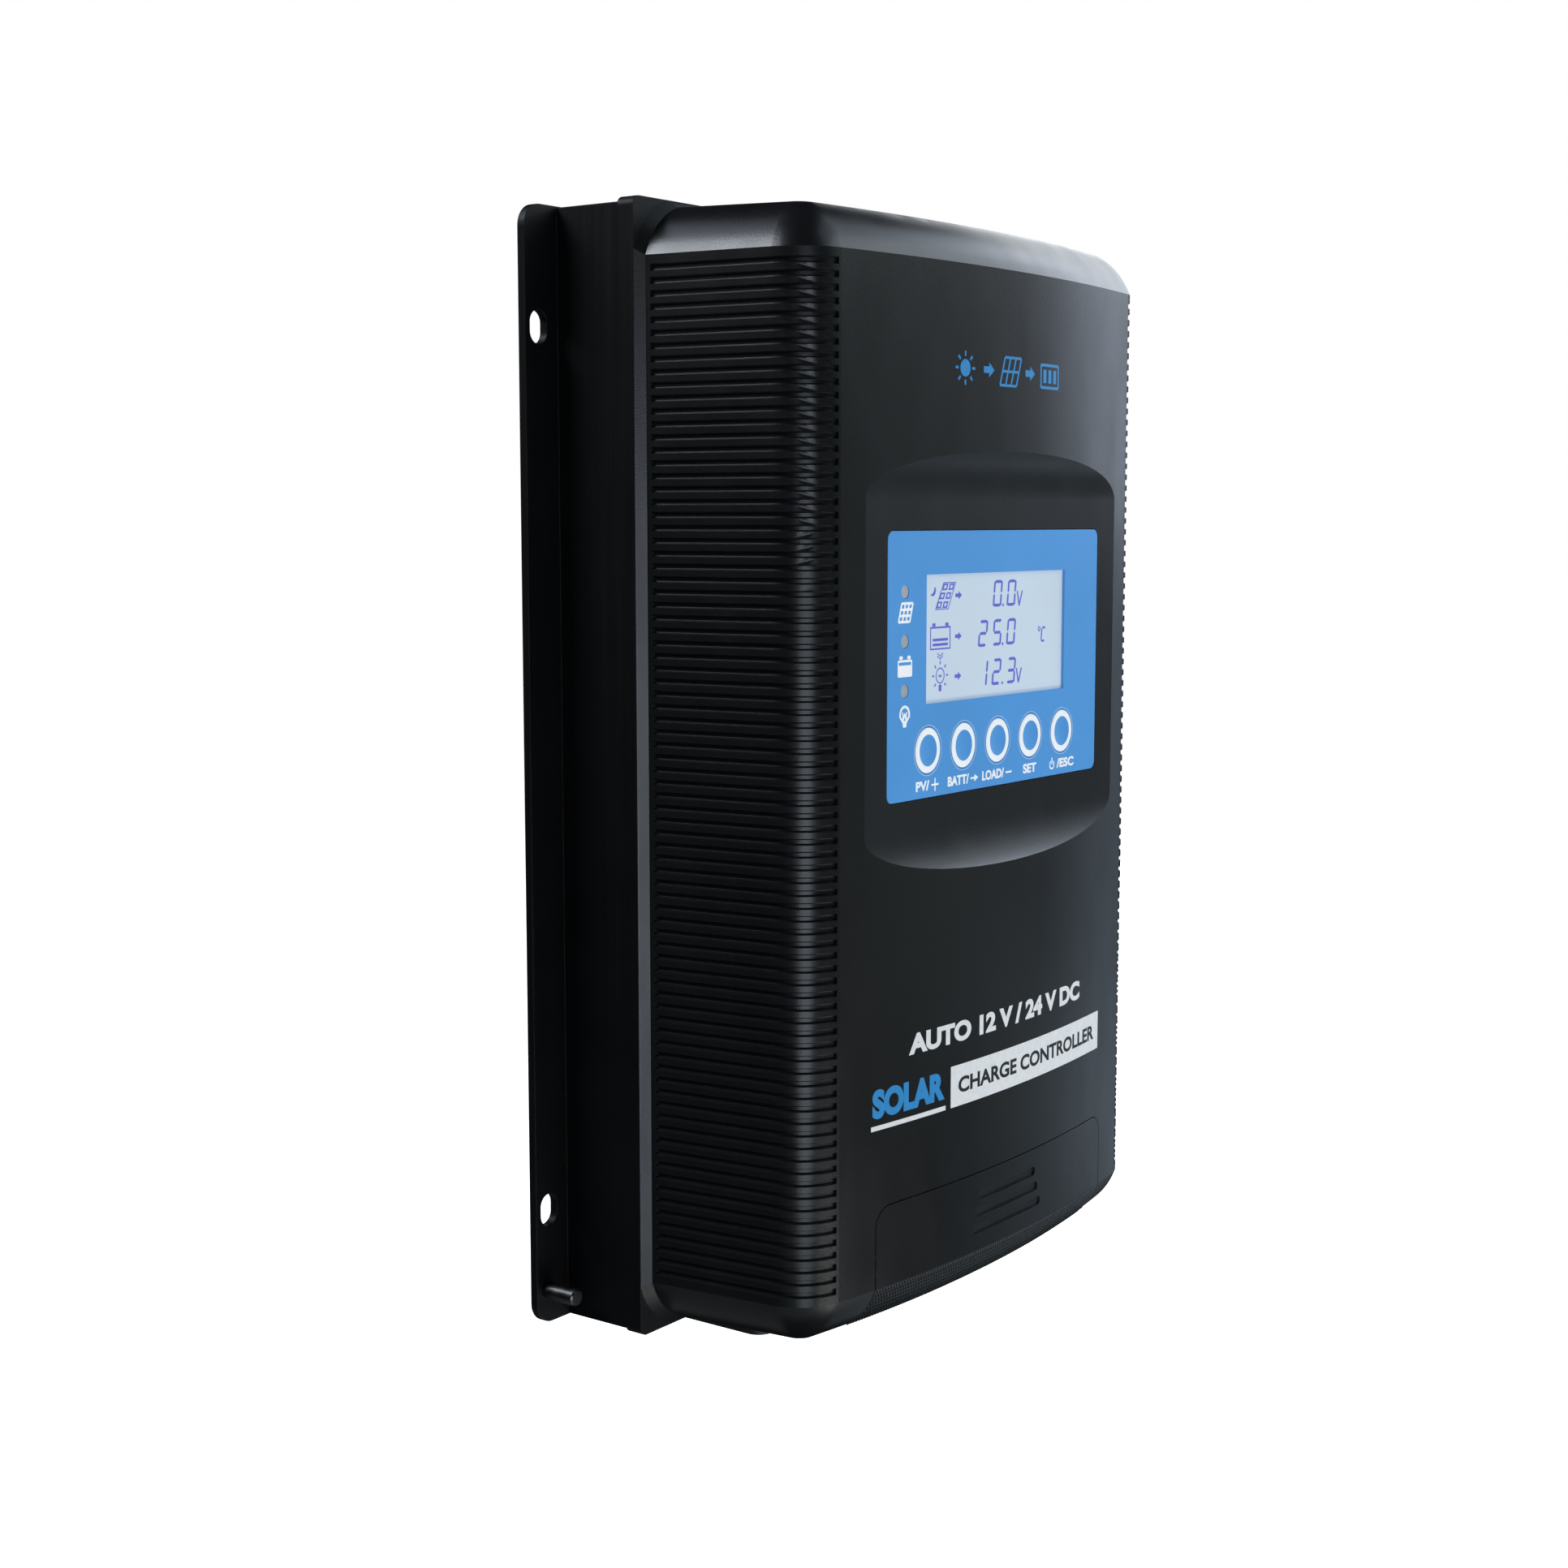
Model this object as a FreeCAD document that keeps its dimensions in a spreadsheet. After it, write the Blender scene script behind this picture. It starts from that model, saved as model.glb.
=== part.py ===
"""Wall-mounted solar charge controller, built as separate pieces in one frame.

The origin is the middle of the four wall slots, on the wall plane. +X is to the
right of someone who faces the controller, +Z is up and +Y points into the wall,
so the front faces -Y. Depths are given as distances from the wall.
"""
import FreeCAD, Part
import math
import os
import re
import Sketcher
from FreeCAD import Placement, Rotation, Vector

doc = FreeCAD.newDocument("ChargeController")
sheet = doc.addObject("Spreadsheet::Sheet", "Sizes")

# Driving dimensions in millimetres. "Depth" is a distance from the wall plane.
DIMENSIONS = {
    # heat sink
    "plate_width": 158.8, "plate_height": 255, "plate_depth": 24, "plate_thick": 4.5,
    "plate_corner": 2, "sink_height": 252.6, "side_thick": 3,
    "flange_width": 180, "flange_height": 253.2, "flange_thick": 2, "flange_corner": 5,
    "slot_width": 5.5, "slot_length": 7.5, "slot_pitch_across": 171.5, "slot_pitch_up": 200,
    "fin_thick": 1.8, "fin_pitch": 8, "fin_count": 19,
    "stud_radius": 2, "stud_length": 9, "stud_across": 86.4, "stud_drop": 119,
    "stud_chamfer": 0.35,
    # front cover
    "rim_depth": 25.85, "rim_width": 155, "crown_depth": 73.5, "recess_depth": 69.2,
    "recess_width": 112.2, "side_taper": 6.5, "corner_radius": 12.5,
    "crease_up": 114.75, "roll_radius": 18, "roll_angle": 19,
    "rim_up": 125.95, "top_slope": 1.75, "skirt_up": 127.4, "skirt_width": 158.6,
    "cover_wall": 2.8, "groove_pitch": 2.8, "groove_count": 81, "groove_mouth": 1.5,
    "groove_floor": 0.75, "groove_depth": 0.8, "groove_end": 64.4, "groove_rear": 27,
    "recess_top": 62.5, "recess_bottom": -11.8, "scoop_radius": 16, "scoop_turn": 25,
    "backing_depth": 66.2, "backing_half": 58, "backing_top": 77, "backing_bottom": -26,
    "boss_across": 68, "boss_up": 108, "boss_radius": 4, "boss_pilot": 1.4, "boss_hole": 1.7,
    "boss_front": 64, "pilot_rear": 20, "pilot_front": 37,
    # terminal cover and its opening
    "hatch_half": 51.8, "hatch_top": -96, "hatch_corner": 5, "hatch_wall": 1.5,
    "hatch_gap": 0.25, "hatch_rear": 47.3, "ledge_width": 2.5, "rebate": 1.8,
    "grip_first": -101.5, "grip_pitch": 4, "grip_half": 11.9, "grip_growth": 1.35,
    "grip_round": 1.15, "grip_floor": 72.85, "grip_backing": 70.4,
    "hook_across": 30, "hook_width": 10, "hook_depth": 67.4, "hook_thick": 1.2,
    "hook_tip": -93, "hook_heel": -99.4, "hook_base": -103,
    # keypad label and display
    "label_width": 94.8, "label_height": 60.3, "label_up": 25.15, "label_thick": 0.6,
    "label_corner": 2, "window_width": 62.7, "window_height": 29.2, "window_across": -0.25,
    "window_up": 30.9, "glass_width": 65.4, "glass_height": 32.4, "glass_depth": 65.7,
    "glass_thick": 2.8, "backlight_thick": 3, "frame_wall": 1.8, "frame_lip": 2,
    "led_across": -40.4, "led_up": 30.85, "led_pitch": 11.05, "led_radius": 1.5,
    "panel_depth": 56, "panel_width": 100, "panel_height": 72, "panel_up": 27,
    "board_thick": 1.6, "post_across": 45.5, "post_up_high": 58, "post_up_low": -4,
    "post_radius": 3.2, "post_pilot": 1.1, "post_hole": 1.3,
    # buttons
    "button_first": -30.75, "button_pitch": 15.27, "button_up": 5.75, "button_radius": 5.4,
    "button_play": 0.2, "button_rise": 0.15, "ring_radius": 4.9, "dish_radius": 3.4,
    "dish_sphere": 16, "stem_radius": 2, "flange_play": 0.3, "button_flange": 1.1,
    "switch_size": 6, "switch_depth": 61, "plunger_radius": 1.7, "plunger_deep": 1.4,
    "plunger_high": 0.6,
    # ribbon cable between the two boards
    "ribbon_left": 10, "ribbon_right": 30, "ribbon_thick": 0.7, "ribbon_bend": 4,
    "ribbon_depth": 54.2, "ribbon_low": -15.35, "ribbon_top": -8, "ribbon_socket_front": 38.6,
    # main board and power parts
    "board_depth": 33, "board_width": 126, "board_height": 232,
    "standoff_across": 57, "standoff_low": -90, "standoff_high": 110, "standoff_radius": 3,
    "standoff_bore": 1.3, "standoff_hole": 1.7,
    "coil_across": 30, "coil_up": 40, "coil_radius": 18, "coil_hole": 9, "coil_height": 14,
    "coil_turns": 18, "coil_foot": 0.4, "wire_thick": 1.8,
    "can_radius": 8, "can_height": 25, "can_pitch": 22, "can_up": -42, "can_crimp": 1.1,
    "crimp_up": 3.2, "transistor_width": 13, "transistor_height": 20, "transistor_thick": 5,
    "transistor_pitch": 16, "transistor_up": 88, "pad_thick": 0.3, "pad_width": 98,
    "pad_height": 24, "lead_pitch": 4.4, "lead_width": 1.2, "lead_thick": 0.7, "lead_up": 1.9,
    "lead_run": 4, "bar_width": 112, "bar_height": 8, "bar_thick": 2,
    "clamp_across": 52, "clamp_pilot": 1.45, "clamp_pilot_depth": 3.6, "clamp_hole": 1.6,
    # screws: radii of the shank, the head and the drive, height of the head, and length
    "panel_screw": 1.05, "panel_screw_head": 2.5, "panel_screw_drive": 0.9,
    "panel_head_height": 1.6, "panel_screw_length": 7,
    "board_screw": 1.25, "board_screw_head": 2.8, "board_screw_drive": 1.1,
    "board_head_height": 2, "board_screw_length": 7.6,
    "cover_screw": 1.35, "cover_screw_head": 2.8, "cover_screw_drive": 1.1,
    "cover_head_height": 2.2, "cover_screw_length": 16.5,
    "clamp_screw": 1.4, "clamp_screw_head": 2.6, "clamp_screw_drive": 1,
    "clamp_head_height": 1.4, "clamp_screw_length": 10.7,
    # terminals and sockets
    "block_width": 95, "block_top": -97, "block_bottom": -117, "block_depth": 57,
    "cell_pitch": 15.6, "cell_size": 10, "cell_back": 35.6, "cell_top_wall": 4,
    "screw_up": -109, "well_radius": 4.3, "cage_half": 5, "cage_wall": 1.2, "cage_play": 0.2,
    "thread_radius": 2.6, "terminal_shank": 2.5, "terminal_head": 3.9, "terminal_tip": 41,
    "terminal_seat": 50, "terminal_face": 53.5, "terminal_slot": 1.2, "terminal_slot_deep": 1.5,
    "inlet_width": 127, "inlet_depth": 46.6, "inlet_bottom": -127.4, "inlet_top": -117.2,
    "inlet_corner": 4, "port_across": 55.5,
    "data_port_width": 11.8, "data_port_height": 8.4, "data_port_depth": 40.8,
    "sensor_port_width": 8, "sensor_port_height": 5.2, "sensor_port_depth": 39.2,
    "data_case_front": 47, "data_case_top": -100, "sensor_case_front": 43.5,
    "sensor_case_top": -106, "socket_wall": 1,
}
ALIAS_WORD = re.compile(r"[a-z]+(?:_[a-z]+)*")


def fill_sheet():
    """Write each driving dimension to a cell of its own, with its name as the alias."""
    for row, (alias, value) in enumerate(DIMENSIONS.items(), start=1):
        sheet.set(f"A{row}", alias.replace("_", " "))
        sheet.set(f"B{row}", str(value))
        sheet.setAlias(f"B{row}", alias)
    doc.recompute()


def size(alias):
    """The number in one cell of the sheet."""
    return float(sheet.get(alias))


def formula(text):
    """A FreeCAD expression in which each alias points at its cell."""
    def point_at_cell(match):
        word = match.group(0)
        return f"Sizes.{word}" if word in DIMENSIONS else word
    return ALIAS_WORD.sub(point_at_cell, str(text))


# ---------------------------------------------------------------- Part primitives

def block(name, across, depth, up):
    """A box between pairs of expressions: along X, out from the wall, and along Z."""
    solid = doc.addObject("Part::Box", name)
    for prop, (low, high) in (("Length", across), ("Width", depth), ("Height", up)):
        solid.setExpression(prop, formula(f"({high}) - ({low})"))
    solid.setExpression("Placement.Base.x", formula(across[0]))
    solid.setExpression("Placement.Base.y", formula(f"-({depth[1]})"))
    solid.setExpression("Placement.Base.z", formula(up[0]))
    return solid


def centred_block(name, centre, extent, depth):
    """A box that is centred across and up, and spans a range of depths."""
    (across, up), (width, height) = centre, extent
    return block(name, (f"({across}) - ({width}) / 2", f"({across}) + ({width}) / 2"), depth,
                 (f"({up}) - ({height}) / 2", f"({up}) + ({height}) / 2"))


def rod_out(name, radius, across, up, depth):
    """A cylinder that stands out from the wall, between two depths."""
    near_wall, far = depth
    solid = doc.addObject("Part::Cylinder", name)
    solid.Placement = Placement(Vector(), Rotation(Vector(1, 0, 0), 90))
    solid.setExpression("Radius", formula(radius))
    solid.setExpression("Height", formula(f"({far}) - ({near_wall})"))
    solid.setExpression("Placement.Base.x", formula(across))
    solid.setExpression("Placement.Base.y", formula(f"-({near_wall})"))
    solid.setExpression("Placement.Base.z", formula(up))
    return solid


def cut(name, base, tools):
    """The base with every tool taken away."""
    tool = tools[0] if len(tools) == 1 else join(name + "_tools", tools)
    result = doc.addObject("Part::Cut", name)
    result.Base = base
    result.Tool = tool
    return result


def join(name, pieces):
    """One solid out of pieces that meet."""
    result = doc.addObject("Part::MultiFuse", name)
    result.Shapes = pieces
    return result


def group(name, pieces):
    """Separate solids that share one node."""
    result = doc.addObject("Part::Compound", name)
    result.Links = pieces
    return result


def feature(name, shape):
    """A piece whose shape is worked out in code from the sheet."""
    result = doc.addObject("Part::Feature", name)
    result.Shape = shape
    return result


# ---------------------------------------------------------------- PartDesign helpers

def new_body(name):
    return doc.addObject("PartDesign::Body", name)


def new_sketch(body, plane, offset=0):
    """A sketch on one of the body's origin planes, moved along the plane's normal."""
    origin_plane = next(f for f in body.Origin.OriginFeatures if f.Role == plane)
    sketch = body.newObject("Sketcher::SketchObject", body.Name + "_sketch")
    sketch.AttachmentSupport = [(origin_plane, "")]
    sketch.MapMode = "FlatFace"
    sketch.setExpression("AttachmentOffset.Base.z", formula(offset))
    return sketch


def constrain(sketch, constraint, expression):
    """Add a dimension and tie it to the sheet."""
    index = sketch.addConstraint(constraint)
    sketch.setExpression(f"Constraints[{index}]", formula(expression))


def draw_rectangle(sketch, centre, extent):
    """A rectangle from its centre and its extent, all four as expressions."""
    corners = [Vector(0, 0, 0), Vector(1, 0, 0), Vector(1, 1, 0), Vector(0, 1, 0)]
    sides = [Part.LineSegment(a, b) for a, b in zip(corners, corners[1:] + corners[:1])]
    first = sketch.addGeometry(sides, False)[0]
    for side in range(4):
        following = first + (side + 1) % 4
        sketch.addConstraint(Sketcher.Constraint("Coincident", first + side, 2, following, 1))
        kind = "Vertical" if side % 2 else "Horizontal"
        sketch.addConstraint(Sketcher.Constraint(kind, first + side))
    (across, up), (width, height) = centre, extent
    constrain(sketch, Sketcher.Constraint("DistanceX", first, 1, first, 2, 1.0), width)
    constrain(sketch, Sketcher.Constraint("DistanceY", first + 1, 1, first + 1, 2, 1.0), height)
    constrain(sketch, Sketcher.Constraint("DistanceX", -1, 1, first, 1, 1.0),
              f"({across}) - ({width}) / 2")
    constrain(sketch, Sketcher.Constraint("DistanceY", -1, 1, first, 1, 1.0),
              f"({up}) - ({height}) / 2")


def draw_circle(sketch, centre, radius):
    across, up = centre
    circle = sketch.addGeometry(Part.Circle(Vector(1, 1, 0), Vector(0, 0, 1), 1), False)
    constrain(sketch, Sketcher.Constraint("Radius", circle, 1.0), radius)
    constrain(sketch, Sketcher.Constraint("DistanceX", -1, 1, circle, 3, 1.0), across)
    constrain(sketch, Sketcher.Constraint("DistanceY", -1, 1, circle, 3, 1.0), up)


def draw_upright_slot(sketch, side, end):
    """One wall slot with round ends, upright, to the side and end that are given as -1 or 1."""
    radius = size("slot_width") / 2
    half_run = (size("slot_length") - size("slot_width")) / 2
    centre = Vector(side * size("slot_pitch_across") / 2, end * size("slot_pitch_up") / 2, 0)
    low_centre, high_centre = centre - Vector(0, half_run, 0), centre + Vector(0, half_run, 0)
    reach, normal = Vector(radius, 0, 0), Vector(0, 0, 1)
    left = Part.LineSegment(high_centre - reach, low_centre - reach)
    low_end = Part.ArcOfCircle(Part.Circle(low_centre, normal, radius), math.pi, 2 * math.pi)
    right = Part.LineSegment(low_centre + reach, high_centre + reach)
    high_end = Part.ArcOfCircle(Part.Circle(high_centre, normal, radius), 0, math.pi)
    a, low, b, high = sketch.addGeometry([left, low_end, right, high_end], False)
    for one, other in ((a, low), (low, b), (b, high), (high, a)):
        sketch.addConstraint(Sketcher.Constraint("Tangent", one, 2, other, 1))
    constrain(sketch, Sketcher.Constraint("Radius", low, radius), "slot_width / 2")
    constrain(sketch, Sketcher.Constraint("DistanceY", low, 3, high, 3, 2 * half_run),
              "slot_length - slot_width")
    constrain(sketch, Sketcher.Constraint("DistanceX", -1, 1, low, 3, low_centre.x),
              f"{side} * slot_pitch_across / 2")
    constrain(sketch, Sketcher.Constraint("DistanceY", -1, 1, low, 3, low_centre.y),
              f"{end} * slot_pitch_up / 2 - (slot_length - slot_width) / 2")


def pad(body, sketch, length, symmetric=False):
    result = body.newObject("PartDesign::Pad", body.Name + "_pad")
    result.Profile = sketch
    result.setExpression("Length", formula(length))
    if symmetric:
        result.SideType = "Symmetric"
    return result


def pocket(body, sketch, length):
    """Cut from the sketch towards the wall, and make sure that something was removed."""
    doc.recompute()
    before = body.Shape.Volume
    result = body.newObject("PartDesign::Pocket", body.Name + "_pocket")
    result.Profile = sketch
    result.setExpression("Length", formula(length))
    doc.recompute()
    if body.Shape.Volume > before - 1e-6:
        raise RuntimeError(f"a pocket in {body.Name} cuts nothing")
    return result


def edges_along(shape, direction, keep=lambda edge: True):
    """Names of the straight edges that run along a direction."""
    names = []
    for number, edge in enumerate(shape.Edges, start=1):
        if isinstance(edge.Curve, Part.Line) and keep(edge):
            if abs(edge.Curve.Direction.dot(direction)) > 0.999:
                names.append(f"Edge{number}")
    return names


def round_edges(body, direction, radius, keep=lambda edge: True):
    """Fillet the body's straight edges that run along a direction."""
    doc.recompute()
    base = body.Tip
    result = body.newObject("PartDesign::Fillet", body.Name + "_fillet")
    result.Base = (base, edges_along(base.Shape, direction, keep))
    result.setExpression("Radius", formula(radius))
    return result


def board(name, centre, extent, depth, holes, hole_radius):
    """A circuit board with round screw holes."""
    body = new_body(name)
    outline = new_sketch(body, "XZ_Plane", depth)
    draw_rectangle(outline, centre, extent)
    for hole in holes:
        draw_circle(outline, hole, hole_radius)
    pad(body, outline, "board_thick")
    return body


def cap_screw(kind, number, centre, seat, outward):
    """A screw with a round drive recess; its head points outward (1) or to the wall (-1)."""
    across, up = centre
    name = f"{kind}_screw_{number}"
    height = f"({outward}) * {kind}_head_height"
    tip, top = f"{seat} - ({outward}) * {kind}_screw_length", f"{seat} + {height}"
    middle, beyond = f"{seat} + {height} / 2", f"{seat} + {height} * 2"

    def rod(suffix, radius, start, end):
        return rod_out(f"{name}_{suffix}", radius, across, up, (start, end)[::outward])

    shank = rod("shank", f"{kind}_screw", tip, middle)
    head = rod("head", f"{kind}_screw_head", seat, top)
    drive = rod("drive", f"{kind}_screw_drive", middle, beyond)
    return cut(name, join(f"{name}_blank", [shank, head]), [drive])


# ---------------------------------------------------------------- heat sink

SIDES = (-1, 1)
BOARD_FRONT = "board_depth + board_thick"
PANEL_FRONT = "panel_depth + board_thick"
BOSSES = [(f"{side} * boss_across", f"{end} * boss_up") for side in SIDES for end in SIDES]
PANEL_POSTS = [(f"{side} * post_across", up) for side in SIDES
               for up in ("post_up_high", "post_up_low")]
STANDOFFS = [(f"{side} * standoff_across", up) for side in SIDES
             for up in ("standoff_low", 0, "standoff_high")]
CLAMP_SCREWS = [(f"{side} * clamp_across", "transistor_up") for side in SIDES]


def make_heat_sink():
    """Black aluminium base: front plate, side walls, and wall flanges with slots."""
    body = new_body("heat_sink")
    plate = new_sketch(body, "XZ_Plane", "plate_depth - plate_thick")
    draw_rectangle(plate, (0, 0), ("plate_width", "plate_height"))
    pad(body, plate, "plate_thick")
    round_edges(body, Vector(0, 1, 0), "plate_corner")

    walls = new_sketch(body, "XY_Plane")
    wall_run = "plate_depth - plate_thick - flange_thick"
    for side in SIDES:
        centre = (f"{side} * (plate_width - side_thick) / 2", f"-flange_thick - ({wall_run}) / 2")
        draw_rectangle(walls, centre, ("side_thick", wall_run))
    pad(body, walls, "sink_height", symmetric=True)

    flanges = new_sketch(body, "XZ_Plane")
    reach = "(flange_width - plate_width) / 2 + side_thick"
    for side in SIDES:
        centre = (f"{side} * (flange_width - ({reach})) / 2", 0)
        draw_rectangle(flanges, centre, (reach, "flange_height"))
        for end in SIDES:
            draw_upright_slot(flanges, side, end)
    pad(body, flanges, "flange_thick")
    edge_of_flange = size("flange_width") / 2 - 0.1
    round_edges(body, Vector(0, 1, 0), "flange_corner",
                lambda edge: abs(edge.CenterOfMass.x) > edge_of_flange)

    holes = new_sketch(body, "XZ_Plane", "plate_depth")
    for centre in BOSSES:
        draw_circle(holes, centre, "boss_hole")
    pocket(body, holes, "plate_thick")
    pilots = new_sketch(body, "XZ_Plane", "plate_depth")
    for centre in CLAMP_SCREWS:
        draw_circle(pilots, centre, "clamp_pilot")
    pocket(body, pilots, "clamp_pilot_depth")
    return body


def make_fins():
    """The upright cooling fins between the plate and the wall, open above and below."""
    fins = []
    for number in range(int(size("fin_count"))):
        across = f"fin_pitch * ({number} - (fin_count - 1) / 2)"
        fins.append(block(f"fin_{number}", (f"{across} - fin_thick / 2", f"{across} + fin_thick / 2"),
                          (0, "plate_depth - plate_thick"), ("-sink_height / 2", "sink_height / 2")))
    return group("heat_sink_fins", fins)


def make_earth_stud():
    """Plain steel stud pressed onto the left flange."""
    foot = "flange_thick"
    stud = rod_out("earth_stud_shank", "stud_radius", "-stud_across", "-stud_drop",
                   (foot, f"{foot} + stud_length"))
    chamfer = doc.addObject("Part::Chamfer", "earth_stud")
    chamfer.Base = stud
    doc.recompute()
    tip = min(range(len(stud.Shape.Edges)), key=lambda i: stud.Shape.Edges[i].BoundBox.YMin
              + stud.Shape.Edges[i].BoundBox.YLength)
    chamfer.Edges = [(tip + 1, size("stud_chamfer"), size("stud_chamfer"))]
    return chamfer


# ---------------------------------------------------------------- front cover

class PlanOutline:
    """The cover seen from above: a convex front, round corners and tapering sides.

    Every line of it can be offset inwards by the same amount, because each corner
    keeps its centre and the front arc keeps its own.
    """

    def __init__(self):
        rise = size("crown_depth") - size("recess_depth")
        half = size("recess_width") / 2
        self.front_radius = (half ** 2 + rise ** 2) / (2 * rise)
        self.front_centre = Vector(0, self.front_radius - size("crown_depth"), 0)
        self.corner_radius = size("corner_radius")
        taper = math.radians(size("side_taper"))
        self.along = Vector(math.sin(taper), -math.cos(taper), 0)
        self.inward = Vector(math.cos(taper), math.sin(taper), 0)
        self.rim = Vector(-size("rim_width") / 2, -size("rim_depth"), 0)
        start = self.rim + self.inward * self.corner_radius - self.front_centre
        half_b = start.dot(self.along)
        rest = start.dot(start) - (self.front_radius - self.corner_radius) ** 2
        run = -half_b + math.sqrt(half_b ** 2 - rest)
        self.corner = self.front_centre + start + self.along * run
        self.corner_out = (self.corner - self.front_centre).normalize()

    def face(self, offset, rear_depth):
        """The area inside the outline, offset inwards and closed at a depth."""
        radius = self.corner_radius - offset
        side = self.corner - self.inward * radius
        back = (-rear_depth - side.y) / self.along.y
        rear = side + self.along * back
        front = self.corner + self.corner_out * radius
        middle = self.corner + (self.corner_out - self.inward).normalize() * radius
        crown = self.front_centre - Vector(0, self.front_radius - offset, 0)

        def right(point):
            return Vector(-point.x, point.y, point.z)

        edges = [Part.makeLine(rear, side),
                 Part.Arc(front, crown, right(front)).toShape(),
                 Part.makeLine(right(side), right(rear)),
                 Part.makeLine(right(rear), rear)]
        if radius > 1e-6:
            edges.append(Part.Arc(side, middle, front).toShape())
            edges.append(Part.Arc(right(side), right(middle), right(front)).toShape())
        return Part.Face(Part.Wire(Part.__sortEdges__(edges)))

    def prism(self, offset, rear_depth, low, high):
        outline = self.face(offset, rear_depth)
        outline.translate(Vector(0, 0, low))
        return outline.extrude(Vector(0, 0, high - low))


def roll_height(offset, distance):
    """How high the rolled end reaches, at a distance inwards from the cover's outline."""
    angle = math.radians(size("roll_angle"))
    roll = size("roll_radius")
    centre_in = roll * math.cos(angle)
    centre_up = size("crease_up") - roll * math.sin(angle)
    return centre_up + math.sqrt((roll - offset) ** 2 - (centre_in - distance) ** 2)


def roll_section(offset, origin, inward):
    """The wall's section, the same above and below: upright, then rolled inwards."""
    deep = size("corner_radius")
    half_way = (offset + deep) / 2
    start, middle, end = (roll_height(offset, d) for d in (offset, half_way, deep))

    def at(distance, up):
        return origin + inward * distance + Vector(0, 0, up)

    edges = [Part.makeLine(at(offset, -start), at(offset, start)),
             Part.Arc(at(offset, start), at(half_way, middle), at(deep, end)).toShape(),
             Part.makeLine(at(deep, end), at(deep, -end)),
             Part.Arc(at(deep, -end), at(half_way, -middle), at(offset, -start)).toShape()]
    return Part.Face(Part.Wire(edges))


def rolled_block(plan, offset, rear_depth):
    """The cover's solid envelope, or one that lies a constant distance inside it."""
    up = Vector(0, 0, 1)
    corner_rim = plan.corner - plan.inward * plan.corner_radius
    turn = math.degrees(plan.inward.getAngle(plan.corner_out * -1))
    side_section = roll_section(offset, corner_rim, plan.inward)
    side = side_section.extrude(plan.along * -size("crown_depth"))
    corner = side_section.revolve(plan.corner, up, turn)
    front_start = plan.corner + plan.corner_out * plan.corner_radius
    front_section = roll_section(offset, front_start, plan.corner_out * -1)
    sweep = 2 * math.degrees(math.asin(-plan.corner_out.x))
    front = front_section.revolve(plan.front_centre, up, sweep)
    top = roll_height(offset, plan.corner_radius)
    core = plan.prism(plan.corner_radius, 0, -top, top)
    other_side = [piece.mirror(Vector(0, 0, 0), Vector(1, 0, 0)) for piece in (side, corner)]
    whole = core.multiFuse([front, side, corner] + other_side).removeSplitter()
    return whole.common(slope_limits(offset, rear_depth))


def slope_limits(inset, rear_depth):
    """The space between the gently sloping top and bottom, in front of a depth."""
    slope = math.tan(math.radians(size("top_slope")))
    front_depth = size("crown_depth") + 5

    def top(depth):
        return size("rim_up") - inset - slope * (depth - size("rim_depth"))

    corners = [Vector(0, -rear_depth, -top(rear_depth)), Vector(0, -front_depth, -top(front_depth)),
               Vector(0, -front_depth, top(front_depth)), Vector(0, -rear_depth, top(rear_depth))]
    outline = Part.Face(Part.makePolygon(corners + corners[:1]))
    outline.translate(Vector(-size("rim_width"), 0, 0))
    return outline.extrude(Vector(2 * size("rim_width"), 0, 0))


def solid_box(across, depth, up):
    """A plain box for the worked-out shapes: ranges across, out from the wall and up."""
    corner = Vector(across[0], -depth[1], up[0])
    return Part.makeBox(across[1] - across[0], depth[1] - depth[0], up[1] - up[0], corner)


def solid_rod(radius, across, up, depth):
    return Part.makeCylinder(radius, depth[1] - depth[0], Vector(across, -depth[0], up),
                             Vector(0, -1, 0))


def rounded_prism(half_width, low, high, radius, depth):
    """A prism out from the wall whose front view is a rectangle with round corners."""
    box = solid_box((-half_width, half_width), depth, (low, high))
    edges = [edge for edge in box.Edges
             if isinstance(edge.Curve, Part.Line) and abs(edge.Curve.Direction.y) > 0.999]
    return box.makeFillet(radius, edges)


def flared_skirt(envelope):
    """The rim's 45 degree skirt, from the cover's rear outline out to the heat sink plate."""
    rim_plane = -size("rim_depth")
    rear_face = max((face for face in envelope.Faces
                     if abs(face.CenterOfMass.y - rim_plane) < 1e-3), key=lambda face: face.Area)
    inner = rear_face.OuterWire
    widen = size("skirt_width") / size("rim_width")
    raise_up = size("skirt_up") / size("rim_up")
    back = size("rim_depth") - size("plate_depth")
    matrix = FreeCAD.Matrix(widen, 0, 0, 0, 0, 1, 0, back, 0, 0, raise_up, 0, 0, 0, 0, 1)
    return Part.makeLoft([inner, inner.transformGeometry(matrix)], True, True)


def groove_section(origin, inward):
    """One groove's section: as wide as its mouth at the surface, and narrower at its floor."""
    mouth, floor, deep = size("groove_mouth") / 2, size("groove_floor") / 2, size("groove_depth")

    def at(distance, up):
        return origin + inward * distance + Vector(0, 0, up)

    corners = [at(-deep / 2, -mouth), at(0, -mouth), at(deep, -floor),
               at(deep, floor), at(0, mouth), at(-deep / 2, mouth)]
    return Part.Face(Part.makePolygon(corners + corners[:1]))


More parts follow.
